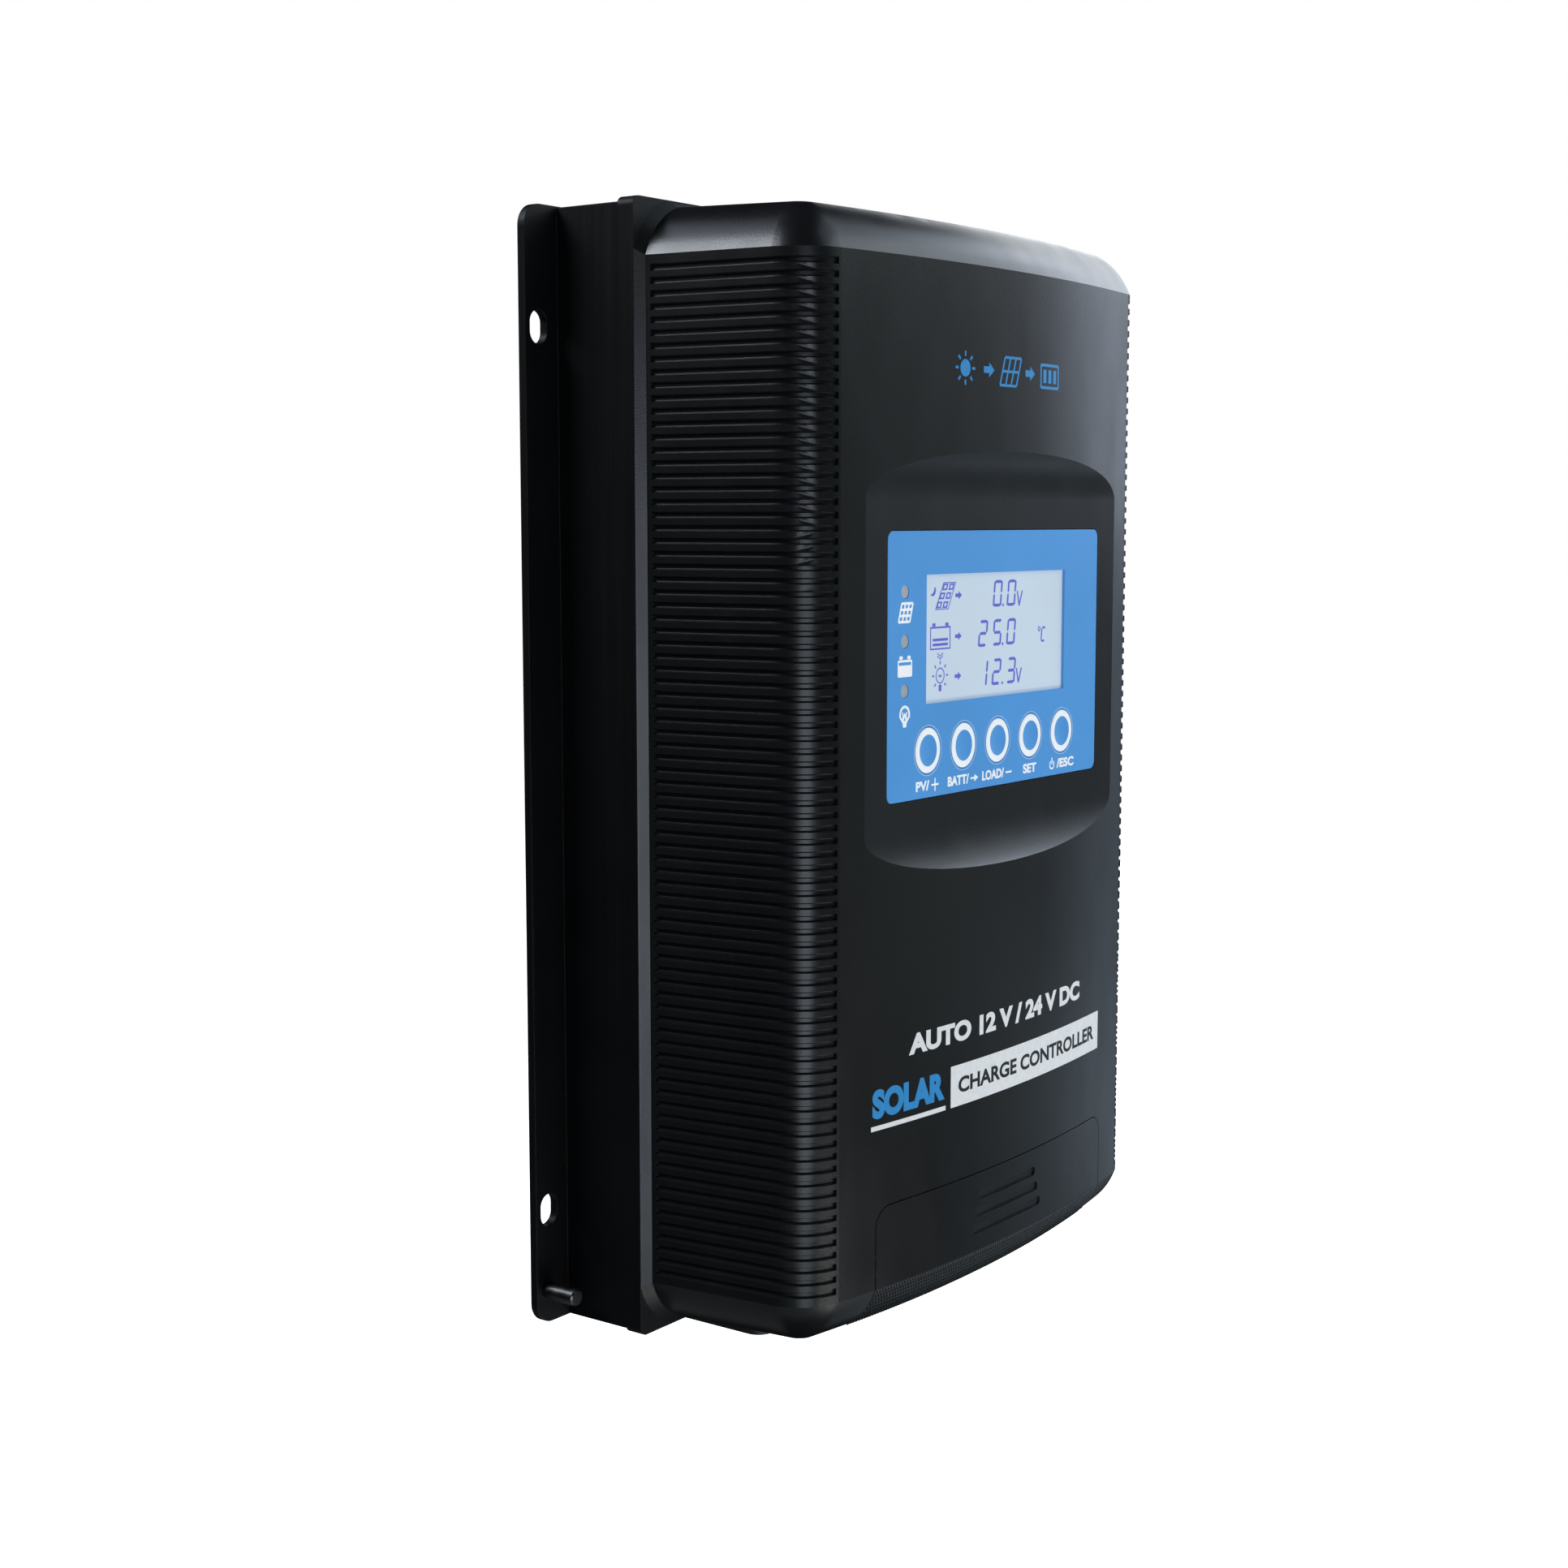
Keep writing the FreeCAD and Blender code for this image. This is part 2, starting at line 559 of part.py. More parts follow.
def side_grooves(plan):
    """The cutters of the fine horizontal grooves on both sides and round the corners."""
    section = groove_section(plan.corner - plan.inward * plan.corner_radius, plan.inward)
    turn = math.degrees(plan.inward.getAngle(plan.corner_out * -1))
    far = size("crown_depth") * 2
    straight = section.extrude(plan.along * -far)
    bend = section.revolve(plan.corner, Vector(0, 0, 1), turn)
    keep = solid_box((-far, -size("groove_end")), (size("groove_rear"), far), (-far, far))
    left = straight.fuse(bend).common(keep)
    right = left.mirror(Vector(0, 0, 0), Vector(1, 0, 0))
    pitch, count = size("groove_pitch"), int(size("groove_count"))
    cutters = []
    for row in range(count):
        for side in (left, right):
            groove = side.copy()
            groove.translate(Vector(0, 0, (row - (count - 1) / 2) * pitch))
            cutters.append(groove)
    return cutters


def recess_cutter():
    """The display recess: flat at the label's plane and scooped out above and below."""
    radius = size("scoop_radius")
    flat, beyond = -size("recess_depth"), -size("crown_depth") - 2.5
    reach = flat - radius
    rise = math.sqrt(radius ** 2 - (beyond - reach) ** 2)
    turn = math.radians(size("scoop_turn"))
    top, bottom = size("recess_top"), size("recess_bottom")

    def scoop(base, sign):
        middle = Vector(0, reach + radius * math.cos(turn), base + sign * radius * math.sin(turn))
        return Part.Arc(Vector(0, flat, base), middle, Vector(0, beyond, base + sign * rise)).toShape()

    edges = [Part.makeLine(Vector(0, flat, bottom), Vector(0, flat, top)), scoop(top, 1),
             Part.makeLine(Vector(0, beyond, top + rise), Vector(0, beyond, bottom - rise)),
             scoop(bottom, -1)]
    outline = Part.Face(Part.Wire(Part.__sortEdges__(edges)))
    outline.translate(Vector(-size("plate_width"), 0, 0))
    return outline.extrude(Vector(2 * size("plate_width"), 0, 0))


def button_centres():
    return [size("button_first") + size("button_pitch") * number for number in range(5)]


def led_heights():
    return [size("led_up") + size("led_pitch") * row for row in (1, 0, -1)]


def display_openings():
    """Everything that is cut through the recess floor, and the label's shallow seat."""
    rear, front = size("panel_depth"), size("crown_depth")
    seat_floor = size("recess_depth") - size("label_thick")
    play = size("button_play")
    low = size("label_up") - size("label_height") / 2 - play
    high = size("label_up") + size("label_height") / 2 + play
    seat = rounded_prism(size("label_width") / 2 + play, low, high, size("label_corner") + play,
                         (seat_floor, front))
    across, up = size("window_across"), size("window_up")
    half_width, half_height = size("glass_width") / 2 + play, size("glass_height") / 2 + play
    window = solid_box((across - half_width, across + half_width), (rear, front),
                       (up - half_height, up + half_height))
    holes = [solid_rod(size("led_radius") + play / 2, size("led_across"), height, (rear, front))
             for height in led_heights()]
    holes += [solid_rod(size("button_radius") + play, centre, size("button_up"), (rear, front))
              for centre in button_centres()]
    return [seat, window] + holes


def boss_centres():
    return [(side * size("boss_across"), end * size("boss_up")) for side in SIDES for end in SIDES]


def post_centres():
    return [(side * size("post_across"), size(up)) for side in SIDES
            for up in ("post_up_high", "post_up_low")]


def hollow_cover(plan, shell):
    """Take the inside out of the cover, and leave the block behind the recess floor."""
    half, beyond = size("backing_half"), size("plate_width")
    backing = solid_box((-half, half), (size("backing_depth"), beyond),
                        (size("backing_bottom"), size("backing_top")))
    hollow = rolled_block(plan, size("cover_wall"), size("plate_depth") - size("plate_thick"))
    return shell.cut(hollow.cut(backing))


def add_bosses_and_posts(plan, shell):
    """Four bosses for the screws of the heat sink and four posts for the display board."""
    rear, post_rear = size("plate_depth"), size("panel_depth") + size("board_thick")
    post_front = size("backing_depth") + size("label_thick")
    bosses = [solid_rod(size("boss_radius"), across, up, (rear, size("boss_front")))
              for across, up in boss_centres()]
    posts = [solid_rod(size("post_radius"), across, up, (post_rear, post_front))
             for across, up in post_centres()]
    inside = rolled_block(plan, size("cover_wall") / 2, rear)
    shell = shell.fuse([boss.common(inside) for boss in bosses] + posts)
    pilots = [solid_rod(size("boss_pilot"), across, up, (size("pilot_rear"), size("pilot_front")))
              for across, up in boss_centres()]
    pilots += [solid_rod(size("post_pilot"), across, up, (post_rear, size("backing_depth")))
               for across, up in post_centres()]
    return shell.cut(pilots)


def hatch_cutters(plan):
    """The rebate and the opening for the terminal cover, and the notch for the cable inlet."""
    gap, ledge, floor = size("hatch_gap"), size("ledge_width"), -size("plate_width")
    half, top = size("hatch_half") + gap, size("hatch_top") + gap
    depths = (size("hatch_rear") - gap, size("plate_width"))
    prism = rounded_prism(half, floor, top, size("hatch_corner") + gap, depths)
    rebate = prism.cut(rolled_block(plan, size("rebate"), 0))
    opening = solid_box((-half + ledge, half - ledge), depths, (floor, top - ledge))
    notch_half = size("inlet_width") / 2 + gap
    notch = solid_box((-notch_half, notch_half), (0, size("inlet_depth") + gap),
                      (floor, size("inlet_top") + gap))
    return [rebate, opening, notch]


def make_front_cover():
    """Moulded plastic cover: ribbed sides, rolled ends, display recess and terminal opening."""
    plan = PlanOutline()
    envelope = rolled_block(plan, 0, size("rim_depth"))
    shell = envelope.fuse(flared_skirt(envelope)).cut(side_grooves(plan)).cut(recess_cutter())
    shell = add_bosses_and_posts(plan, hollow_cover(plan, shell))
    return feature("front_cover", shell.cut(display_openings()).cut(hatch_cutters(plan)))


def finger_grips():
    """Three round-ended grooves, each wider than the one above it."""
    radius, beyond = size("grip_round"), size("plate_width")
    depths = (size("grip_floor"), beyond)
    grips = []
    for row in range(3):
        up = size("grip_first") - size("grip_pitch") * row
        reach = size("grip_half") + size("grip_growth") * row
        slot = solid_box((-reach, reach), depths, (up - radius, up + radius))
        grips.append(slot.fuse([solid_rod(radius, side * reach, up, depths) for side in SIDES]))
    return grips


def cover_hooks():
    """Two hooks that reach up behind the front cover's ledge."""
    rear, heel = size("hook_depth"), size("hook_heel")
    foot_front = size("crown_depth") - size("hatch_wall") - size("label_thick")
    hooks = []
    for side in SIDES:
        middle, half = side * size("hook_across"), size("hook_width") / 2
        across = (middle - half, middle + half)
        hooks.append(solid_box(across, (rear, foot_front), (size("hook_base"), heel)))
        hooks.append(solid_box(across, (rear, rear + size("hook_thick")), (heel, size("hook_tip"))))
    return hooks


def make_terminal_cover():
    """Slide-off cover over the wiring terminals, with three finger grips and two hooks."""
    plan = PlanOutline()
    beyond = size("plate_width")
    outer = rolled_block(plan, 0, size("rim_depth"))
    inner = rolled_block(plan, size("hatch_wall"), 0)
    prism = rounded_prism(size("hatch_half"), -beyond, size("hatch_top"), size("hatch_corner"),
                          (size("hatch_rear"), beyond))
    shell = outer.cut(inner).common(prism)
    widest = size("grip_half") + 3 * size("grip_growth") + size("hook_width") / 4
    lowest = size("grip_first") - 3 * size("grip_pitch")
    backing = solid_box((-widest, widest), (size("grip_backing"), size("grip_floor")),
                        (lowest, size("hook_heel")))
    shell = shell.fuse([backing.common(outer)] + cover_hooks())
    return feature("terminal_cover", shell.cut(finger_grips()))


# ---------------------------------------------------------------- keypad and display

def make_keypad_label():
    """Overlay sheet with the display window, the lamp holes and the button holes."""
    body = new_body("keypad_label")
    outline = new_sketch(body, "XZ_Plane", "recess_depth - label_thick")
    draw_rectangle(outline, (0, "label_up"), ("label_width", "label_height"))
    pad(body, outline, "label_thick")
    round_edges(body, Vector(0, 1, 0), "label_corner")
    openings = new_sketch(body, "XZ_Plane", "recess_depth")
    draw_rectangle(openings, ("window_across", "window_up"), ("window_width", "window_height"))
    for row in (-1, 0, 1):
        draw_circle(openings, ("led_across", f"led_up + {row} * led_pitch"), "led_radius + 0.06")
    for number in range(5):
        centre = (f"button_first + {number} * button_pitch", "button_up")
        draw_circle(openings, centre, "button_radius + button_play / 2")
    pocket(body, openings, "label_thick")
    return body


def make_display():
    """Liquid crystal glass, its backlight and the frame that stands on the display board."""
    centre = ("window_across", "window_up")
    glass_size = ("glass_width", "glass_height")
    light_front = "glass_depth - pad_thick / 3"
    light_back = f"{light_front} - backlight_thick"
    glass = centred_block("lcd_glass", centre, glass_size, ("glass_depth", "glass_depth + glass_thick"))
    light = centred_block("lcd_backlight", centre, glass_size, (light_back, light_front))
    outer = ("glass_width + 2 * frame_wall", "glass_height + 2 * frame_wall")
    inner = ("glass_width + 2 * button_play", "glass_height + 2 * button_play")
    lip = ("glass_width - 2 * frame_lip", "glass_height - 2 * frame_lip")
    frame_block = centred_block("lcd_frame_block", centre, outer,
                                (PANEL_FRONT, "backing_depth - button_play"))
    seat = centred_block("lcd_frame_seat", centre, inner, (light_back, "backing_depth"))
    hollow = centred_block("lcd_frame_hollow", centre, lip, (PANEL_FRONT, f"{light_back} - frame_lip / 2"))
    return [glass, light, cut("lcd_frame", frame_block, [seat, hollow])]


def button_across(number):
    return f"button_first + {number} * button_pitch"


def make_button(number, name):
    """One key: a dished cap with a raised ring, held by a flange behind the cover."""
    across, up = button_across(number), "button_up"
    cap_rear = "backing_depth - flange_play"
    flange_rear = f"{cap_rear} - button_flange"
    cap = rod_out(f"{name}_cap", "button_radius", across, up, (cap_rear, "recess_depth"))
    ring = rod_out(f"{name}_ring", "ring_radius", across, up,
                   ("recess_depth - label_thick", "recess_depth + button_rise"))
    flange = rod_out(f"{name}_flange", "button_radius + 1", across, up, (flange_rear, cap_rear))
    stem = rod_out(f"{name}_stem", "stem_radius", across, up,
                   ("switch_depth + plunger_high + 0.1", cap_rear))
    whole = join(f"{name}_blank", [cap, ring, flange, stem])
    dish = doc.addObject("Part::Sphere", f"{name}_dish")
    dish.setExpression("Radius", formula("dish_sphere"))
    dish.setExpression("Placement.Base.x", formula(across))
    reach = "sqrt(dish_sphere ^ 2 - dish_radius ^ 2)"
    dish.setExpression("Placement.Base.y", formula(f"-(recess_depth + button_rise + {reach})"))
    dish.setExpression("Placement.Base.z", formula(up))
    return cut(name, whole, [dish])


def make_plunger(number, name):
    return rod_out(name, "plunger_radius", button_across(number), "button_up",
                   ("switch_depth - plunger_deep", "switch_depth + plunger_high"))


def make_switches():
    """The five momentary switches on the display board."""
    switches = []
    for number in range(5):
        across = button_across(number)
        case = centred_block(f"switch_case_{number}", (across, "button_up"),
                             ("switch_size", "switch_size"), (PANEL_FRONT, "switch_depth"))
        bore = rod_out(f"switch_bore_{number}", "plunger_radius + button_play / 2", across, "button_up",
                       ("switch_depth - 1.5 * plunger_deep", "switch_depth + plunger_high"))
        switches.append(cut(f"switch_{number}", case, [bore]))
    return group("tact_switches", switches)


def make_led(row, name):
    """A status lamp: a flanged foot on the display board and a lens in the label."""
    up = f"led_up + {row} * led_pitch"
    flange = f"{PANEL_FRONT} + 1"
    base = rod_out(f"{name}_base", "led_radius + 0.4", "led_across", up, (PANEL_FRONT, flange))
    lens = rod_out(f"{name}_lens", "led_radius", "led_across", up,
                   (flange, "recess_depth - button_rise"))
    return join(name, [base, lens])


def make_panel_screws():
    screws = [cap_screw("panel", number, centre, "panel_depth", -1)
              for number, centre in enumerate(PANEL_POSTS)]
    return group("display_board_screws", screws)


def make_ribbon():
    """Flat cable between the boards: down from one socket, round a bend, back to the other."""
    across = ("ribbon_left", "ribbon_right")
    outer_radius = "ribbon_bend + ribbon_thick"
    bend_depth, bend_up = "ribbon_depth - ribbon_bend", f"ribbon_low + {outer_radius}"
    front = "ribbon_depth + ribbon_thick"
    drop = block("ribbon_drop", across, ("ribbon_depth", front), (bend_up, "ribbon_top"))
    back = block("ribbon_back", across, ("ribbon_socket_front", bend_depth),
                 ("ribbon_low", "ribbon_low + ribbon_thick"))
    corner = block("ribbon_corner", across, (bend_depth, front), ("ribbon_low", bend_up))
    arcs = []
    for name, radius, margin in (("outer", outer_radius, 0), ("inner", "ribbon_bend", 1)):
        arc = doc.addObject("Part::Cylinder", f"ribbon_bend_{name}")
        arc.Placement = Placement(Vector(), Rotation(Vector(0, 1, 0), 90))
        arc.setExpression("Radius", formula(radius))
        arc.setExpression("Height", formula(f"ribbon_right - ribbon_left + 2 * {margin}"))
        arc.setExpression("Placement.Base.x", formula(f"ribbon_left - {margin}"))
        arc.setExpression("Placement.Base.y", formula(f"-({bend_depth})"))
        arc.setExpression("Placement.Base.z", formula(bend_up))
        arcs.append(arc)
    quarter = doc.addObject("Part::Common", "ribbon_quarter")
    quarter.Base, quarter.Tool = arcs[0], corner
    cable = join("ribbon_cable", [drop, cut("ribbon_turn", quarter, arcs[1:]), back])
    wider = ("ribbon_left - 2", "ribbon_right + 2")
    upper = block("ribbon_socket_upper", wider, ("ribbon_depth - 1.2", "panel_depth"),
                  ("ribbon_top", "ribbon_top + 5"))
    lower = block("ribbon_socket_lower", wider, (BOARD_FRONT, "ribbon_socket_front"),
                  ("ribbon_low - 2.65", "ribbon_low + 3.35"))
    return [cable, group("ribbon_sockets", [upper, lower])]


# ---------------------------------------------------------------- main board

def make_standoffs():
    """Round spacers that hold the main board off the heat sink, and the screws in them."""
    spacers, screws = [], []
    for number, (across, up) in enumerate(STANDOFFS):
        tube = rod_out(f"standoff_{number}", "standoff_radius", across, up, ("plate_depth", "board_depth"))
        bore = rod_out(f"standoff_bore_{number}", "standoff_bore", across, up,
                       ("plate_depth + 1", "board_depth + 1"))
        spacers.append(cut(f"standoff_tube_{number}", tube, [bore]))
        screws.append(cap_screw("board", number, (across, up), BOARD_FRONT, 1))
    return [group("board_standoffs", spacers), group("main_board_screws", screws)]


def make_cover_screws():
    """Four screws through the heat sink plate into the cover's bosses."""
    screws = [cap_screw("cover", number, centre, "plate_depth - plate_thick", -1)
              for number, centre in enumerate(BOSSES)]
    return group("cover_screws", screws)


def winding(across, low, high):
    """The separate turns of wire round one ring core that lies between two depths."""
    wire, up, turns = size("wire_thick"), size("coil_up"), int(size("coil_turns"))
    outer, inner = size("coil_radius"), size("coil_hole")
    through = (low - inner, high + inner)
    sleeve = solid_rod(outer + wire, across, up, (low - wire, high + wire))
    sleeve = sleeve.cut(solid_rod(inner - wire, across, up, through))
    core = solid_rod(outer, across, up, (low, high)).cut(solid_rod(inner, across, up, through))
    sleeve = sleeve.cut(core)
    loops = []
    for turn in range(turns):
        slab = solid_box((0, outer + 2 * wire), through, (-wire / 2, wire / 2))
        slab.rotate(Vector(0, 0, 0), Vector(0, 1, 0), turn * 360 / turns)
        slab.translate(Vector(across, 0, up))
        loops.append(sleeve.common(slab).Solids[0])
    return loops


def make_inductors():
    """Two ring cores flat on the board, each with a winding of separate turns."""
    cores, loops = [], []
    foot = f"{BOARD_FRONT} + coil_foot + wire_thick"
    low = size("board_depth") + size("board_thick") + size("coil_foot") + size("wire_thick")
    for side, name in zip(SIDES, ("left", "right")):
        across = f"{side} * coil_across"
        ring = rod_out(f"coil_ring_{name}", "coil_radius", across, "coil_up", (foot, f"{foot} + coil_height"))
        hole = rod_out(f"coil_hole_{name}", "coil_hole", across, "coil_up",
                       (f"{foot} - 1", f"{foot} + coil_height + 1"))
        cores.append(cut(f"coil_core_{name}", ring, [hole]))
        loops += winding(side * size("coil_across"), low, low + size("coil_height"))
    return [group("inductor_cores", cores), feature("inductor_windings", Part.makeCompound(loops))]


def make_capacitors():
    """Five electrolytic cans in a row, each with a crimp near its foot."""
    cans = []
    for number in range(5):
        across = f"{number - 2} * can_pitch"
        can = rod_out(f"can_{number}", "can_radius", across, "can_up",
                      (BOARD_FRONT, f"{BOARD_FRONT} + can_height"))
        crimp = doc.addObject("Part::Torus", f"can_crimp_{number}")
        crimp.Placement = Placement(Vector(), Rotation(Vector(1, 0, 0), 90))
        crimp.setExpression("Radius1", formula("can_radius + can_crimp / 2"))
        crimp.setExpression("Radius2", formula("can_crimp"))
        crimp.setExpression("Placement.Base.x", formula(across))
        crimp.setExpression("Placement.Base.y", formula(f"-({BOARD_FRONT} + crimp_up)"))
        crimp.setExpression("Placement.Base.z", formula("can_up"))
        cans.append(cut(f"capacitor_{number}", can, [crimp]))
    return group("filter_capacitors", cans)


def make_transistor(number, back):
    """One power transistor flat on its pad, with three leads that rise to the board."""
    across = f"{number - 2.5} * transistor_pitch"
    pieces = [centred_block(f"transistor_case_{number}", (across, "transistor_up"),
                            ("transistor_width", "transistor_height"),
                            (back, f"{back} + transistor_thick"))]
    lead_back = f"{back} + lead_up"
    case_low = "transistor_up - transistor_height / 2"
    lead_low = f"{case_low} - lead_run"
    for lead in (-1, 0, 1):
        middle = f"{across} + {lead} * lead_pitch"
        sides = (f"{middle} - lead_width / 2", f"{middle} + lead_width / 2")
        pieces.append(block(f"lead_run_{number}_{lead + 1}", sides,
                            (lead_back, f"{lead_back} + lead_thick"), (lead_low, f"{case_low} + 1")))
        pieces.append(block(f"lead_rise_{number}_{lead + 1}", sides,
                            (lead_back, "board_depth"), (lead_low, f"{lead_low} + lead_thick")))
    return join(f"transistor_{number}", pieces)


def make_transistors():
    """Six power transistors on the heat sink, the pad under them, and the bar that holds them."""
    centre = (0, "transistor_up")
    back = "plate_depth + pad_thick"
    bar_back = f"{back} + transistor_thick"
    bar_front = f"{bar_back} + bar_thick"
    devices = [make_transistor(number, back) for number in range(6)]
    sheet_pad = centred_block("thermal_pad", centre, ("pad_width", "pad_height"), ("plate_depth", back))
    bar = centred_block("clamp_bar_blank", centre, ("bar_width", "bar_height"), (bar_back, bar_front))
    holes, screws = [], []
    for number, (across, up) in enumerate(CLAMP_SCREWS):
        holes.append(rod_out(f"clamp_hole_{number}", "clamp_hole", across, up,
                             (bar_back, f"{bar_front} + 1")))
        screws.append(cap_screw("clamp", number, (across, up), bar_front, 1))
    return [group("power_transistors", devices), sheet_pad, cut("clamp_bar", bar, holes),
            group("clamp_screws", screws)]


# Small parts of the main board. Each has its left and right edges, the heights above the
# board at which it starts and ends, and its lower and upper edges.
CHIPS = {"chip_control": ((-12, 0), (0, 1.4), (2, 14)),
         "chip_memory": ((4, 9), (0, 1.5), (-4, 0)),
         "chip_driver": ((-30, -20), (0, 2.3), (66, 73.5)),
         "chip_driver_two": ((20, 30), (0, 2.3), (66, 73.5))}
FILMS = {f"film_{number}": ((left, left + 6), (0, 12), (-74, -60))
         for number, left in enumerate((20, 29, 38))}
TRANSFORMER = {"transformer_core": ((-48, -28), (3, 15), (-78, -60)),
               "transformer_bobbin": ((-46, -30), (0, 17), (-75, -63))}
SHUNT = {"leg_low": ((-1, 1), (0, 7), (-72, -70.5)),
         "leg_high": ((-1, 1), (0, 7), (-60, -58.5)),
         "bridge": ((-1, 1), (5.5, 7), (-72, -58.5))}
SHUNT_ACROSS = (-8, 8)


def board_blocks(places, prefix="", across=0):
    """Blocks on the main board from a list of places, all moved sideways by the same amount."""
    blocks = []
    for name, ((left, right), heights, up) in places.items():
        depths = tuple(f"{BOARD_FRONT} + {height}" for height in heights)
        blocks.append(block(prefix + name, (left + across, right + across), depths, up))
    return blocks


def make_small_parts():
    """Shunts, film capacitors, the auxiliary transformer and the control chips."""
    shunts = [join(f"shunt_{number}", board_blocks(SHUNT, f"shunt_{number}_", across))
              for number, across in enumerate(SHUNT_ACROSS)]
    return [group("current_shunts", shunts), group("film_capacitors", board_blocks(FILMS)),
            join("auxiliary_transformer", board_blocks(TRANSFORMER)),
            group("control_chips", board_blocks(CHIPS))]


# ---------------------------------------------------------------- terminals and sockets

def cell_across(number):
    return f"{number - 2.5} * cell_pitch"


def make_cage(number, across):
    """The brass clamp of one cell, open above and below, with the hole for its screw."""
    half = "(cell_size / 2 - cage_play)"
    mouth_half = f"({half} - cage_wall)"
    back, front = "cell_back + 2 * cage_play", "cell_back + cell_size + 4 * cage_play"
    outer = block(f"cage_outer_{number}", (f"{across} - {half}", f"{across} + {half}"), (back, front),
                  ("screw_up - cage_half", "screw_up + cage_half"))
    mouth = block(f"cage_mouth_{number}", (f"{across} - {mouth_half}", f"{across} + {mouth_half}"),
                  (f"{back} + cage_wall", f"{front} - cage_wall - 4 * cage_play"),
                  ("screw_up - cage_half - 1", "screw_up + cage_half + 1"))
    thread = rod_out(f"cage_thread_{number}", "thread_radius", across, "screw_up",
                     ("cell_back + cell_size / 2", "block_depth"))
    return cut(f"cage_{number}", outer, [mouth, thread])


def make_terminal_screw(number, across):
    """A wiring screw with a crossed slot in its head."""
    name = f"terminal_screw_{number + 1}"
    shank = rod_out(f"{name}_shank", "terminal_shank", across, "screw_up",
                    ("terminal_tip", "terminal_seat + 1"))
    head = rod_out(f"{name}_head", "terminal_head", across, "screw_up",
                   ("terminal_seat", "terminal_face"))
    slot = ("2 * terminal_head", "terminal_slot")
    deep = ("terminal_face - terminal_slot_deep", "terminal_face + 1")
    slots = [centred_block(f"{name}_slot_across", (across, "screw_up"), slot, deep),
             centred_block(f"{name}_slot_up", (across, "screw_up"), slot[::-1], deep)]
    return cut(name, join(f"{name}_blank", [shank, head]), slots)


def make_terminal_block():
    """Six-way terminal block: wire cells open below, screw wells open in front."""
    blank = block("terminal_block_blank", ("-block_width / 2", "block_width / 2"),
                  (BOARD_FRONT, "block_depth"), ("block_bottom", "block_top"))
    cell_front = "cell_back + cell_size"
    cavities, cages, screws = [], [], []
    for number in range(6):
        across = cell_across(number)
        sides = (f"{across} - cell_size / 2", f"{across} + cell_size / 2")
        cavities.append(block(f"cell_{number}", sides, ("cell_back", f"{cell_front} + 1"),
                              ("block_bottom - 1", "block_top - cell_top_wall")))
        cavities.append(rod_out(f"well_{number}", "well_radius", across, "screw_up",
                                (cell_front, "block_depth + 1")))
        cages.append(make_cage(number, across))
        screws.append(make_terminal_screw(number, across))
    return [cut("terminal_block", blank, cavities), group("terminal_cages", cages)] + screws


def make_cable_inlet():
    """Black insert in the underside that guides the six wires and frames the two sockets."""
    body = new_body("cable_inlet")
    outline = new_sketch(body, "XY_Plane", "inlet_bottom")
    run = "inlet_depth - plate_depth"
    draw_rectangle(outline, (0, f"-plate_depth - ({run}) / 2"), ("inlet_width", run))
    for number in range(6):
        draw_rectangle(outline, (cell_across(number), "-cell_back - cell_size / 2"),
                       ("cell_size", "cell_size"))
    for side, kind in zip(SIDES, ("sensor", "data")):
        draw_rectangle(outline, (f"{side} * port_across", f"-{kind}_port_depth"),
                       (f"{kind}_port_width", f"{kind}_port_height"))
    pad(body, outline, "inlet_top - inlet_bottom")
    front = -size("inlet_depth")
    round_edges(body, Vector(0, 0, 1), "inlet_corner",
                lambda edge: abs(edge.CenterOfMass.y - front) < 0.1)
    return body


def make_socket(side, kind):
    """A socket that opens downwards, as wide inside as its port in the cable inlet."""
    half = f"({kind}_port_width / 2)"
    middle, front = f"{side} * port_across", f"{kind}_port_depth + {kind}_port_height / 2"
    case = block(f"{kind}_case", (f"{middle} - {half} - socket_wall", f"{middle} + {half} + socket_wall"),
                 (BOARD_FRONT, f"{kind}_case_front"), ("block_bottom", f"{kind}_case_top"))
    mouth = block(f"{kind}_mouth", (f"{middle} - {half}", f"{middle} + {half}"),
                  (f"{kind}_port_depth - {kind}_port_height / 2", front),
                  ("block_bottom - 1", f"{kind}_case_top - 3 * socket_wall"))
    return cut(f"{kind}_socket", case, [mouth])


# ---------------------------------------------------------------- the whole controller

BUTTONS = ("button_panel", "button_battery", "button_load", "button_set", "button_power")
LEDS = ("led_panel", "led_battery", "led_load")


def build_pieces():
    """Every sub-part of the controller, in the order of assembly from the wall outwards."""
    pieces = [make_heat_sink(), make_fins(), make_earth_stud()]
    pieces += make_transistors()
    pieces += make_standoffs()
    pieces.append(board("main_board", (0, 0), ("board_width", "board_height"), "board_depth",
                        STANDOFFS, "standoff_hole"))
    pieces += make_inductors()
    pieces.append(make_capacitors())
    pieces += make_small_parts()
    pieces += make_terminal_block()
    pieces += [make_socket(1, "data"), make_socket(-1, "sensor")]
    pieces.append(make_cable_inlet())
    pieces.append(board("display_board", (0, "panel_up"), ("panel_width", "panel_height"),
                        "panel_depth", PANEL_POSTS, "post_hole"))
    pieces += make_ribbon()
    pieces.append(make_switches())
    for number, name in enumerate(BUTTONS):
        pieces.append(make_button(number, name))
        pieces.append(make_plunger(number, name + "_plunger"))
    for row, name in zip((1, 0, -1), LEDS):
        pieces.append(make_led(row, name))
    pieces += make_display()
    pieces += [make_keypad_label(), make_panel_screws(), make_cover_screws()]
    pieces += [make_front_cover(), make_terminal_cover()]
    for piece in pieces:
        piece.Label = piece.Name
    return pieces


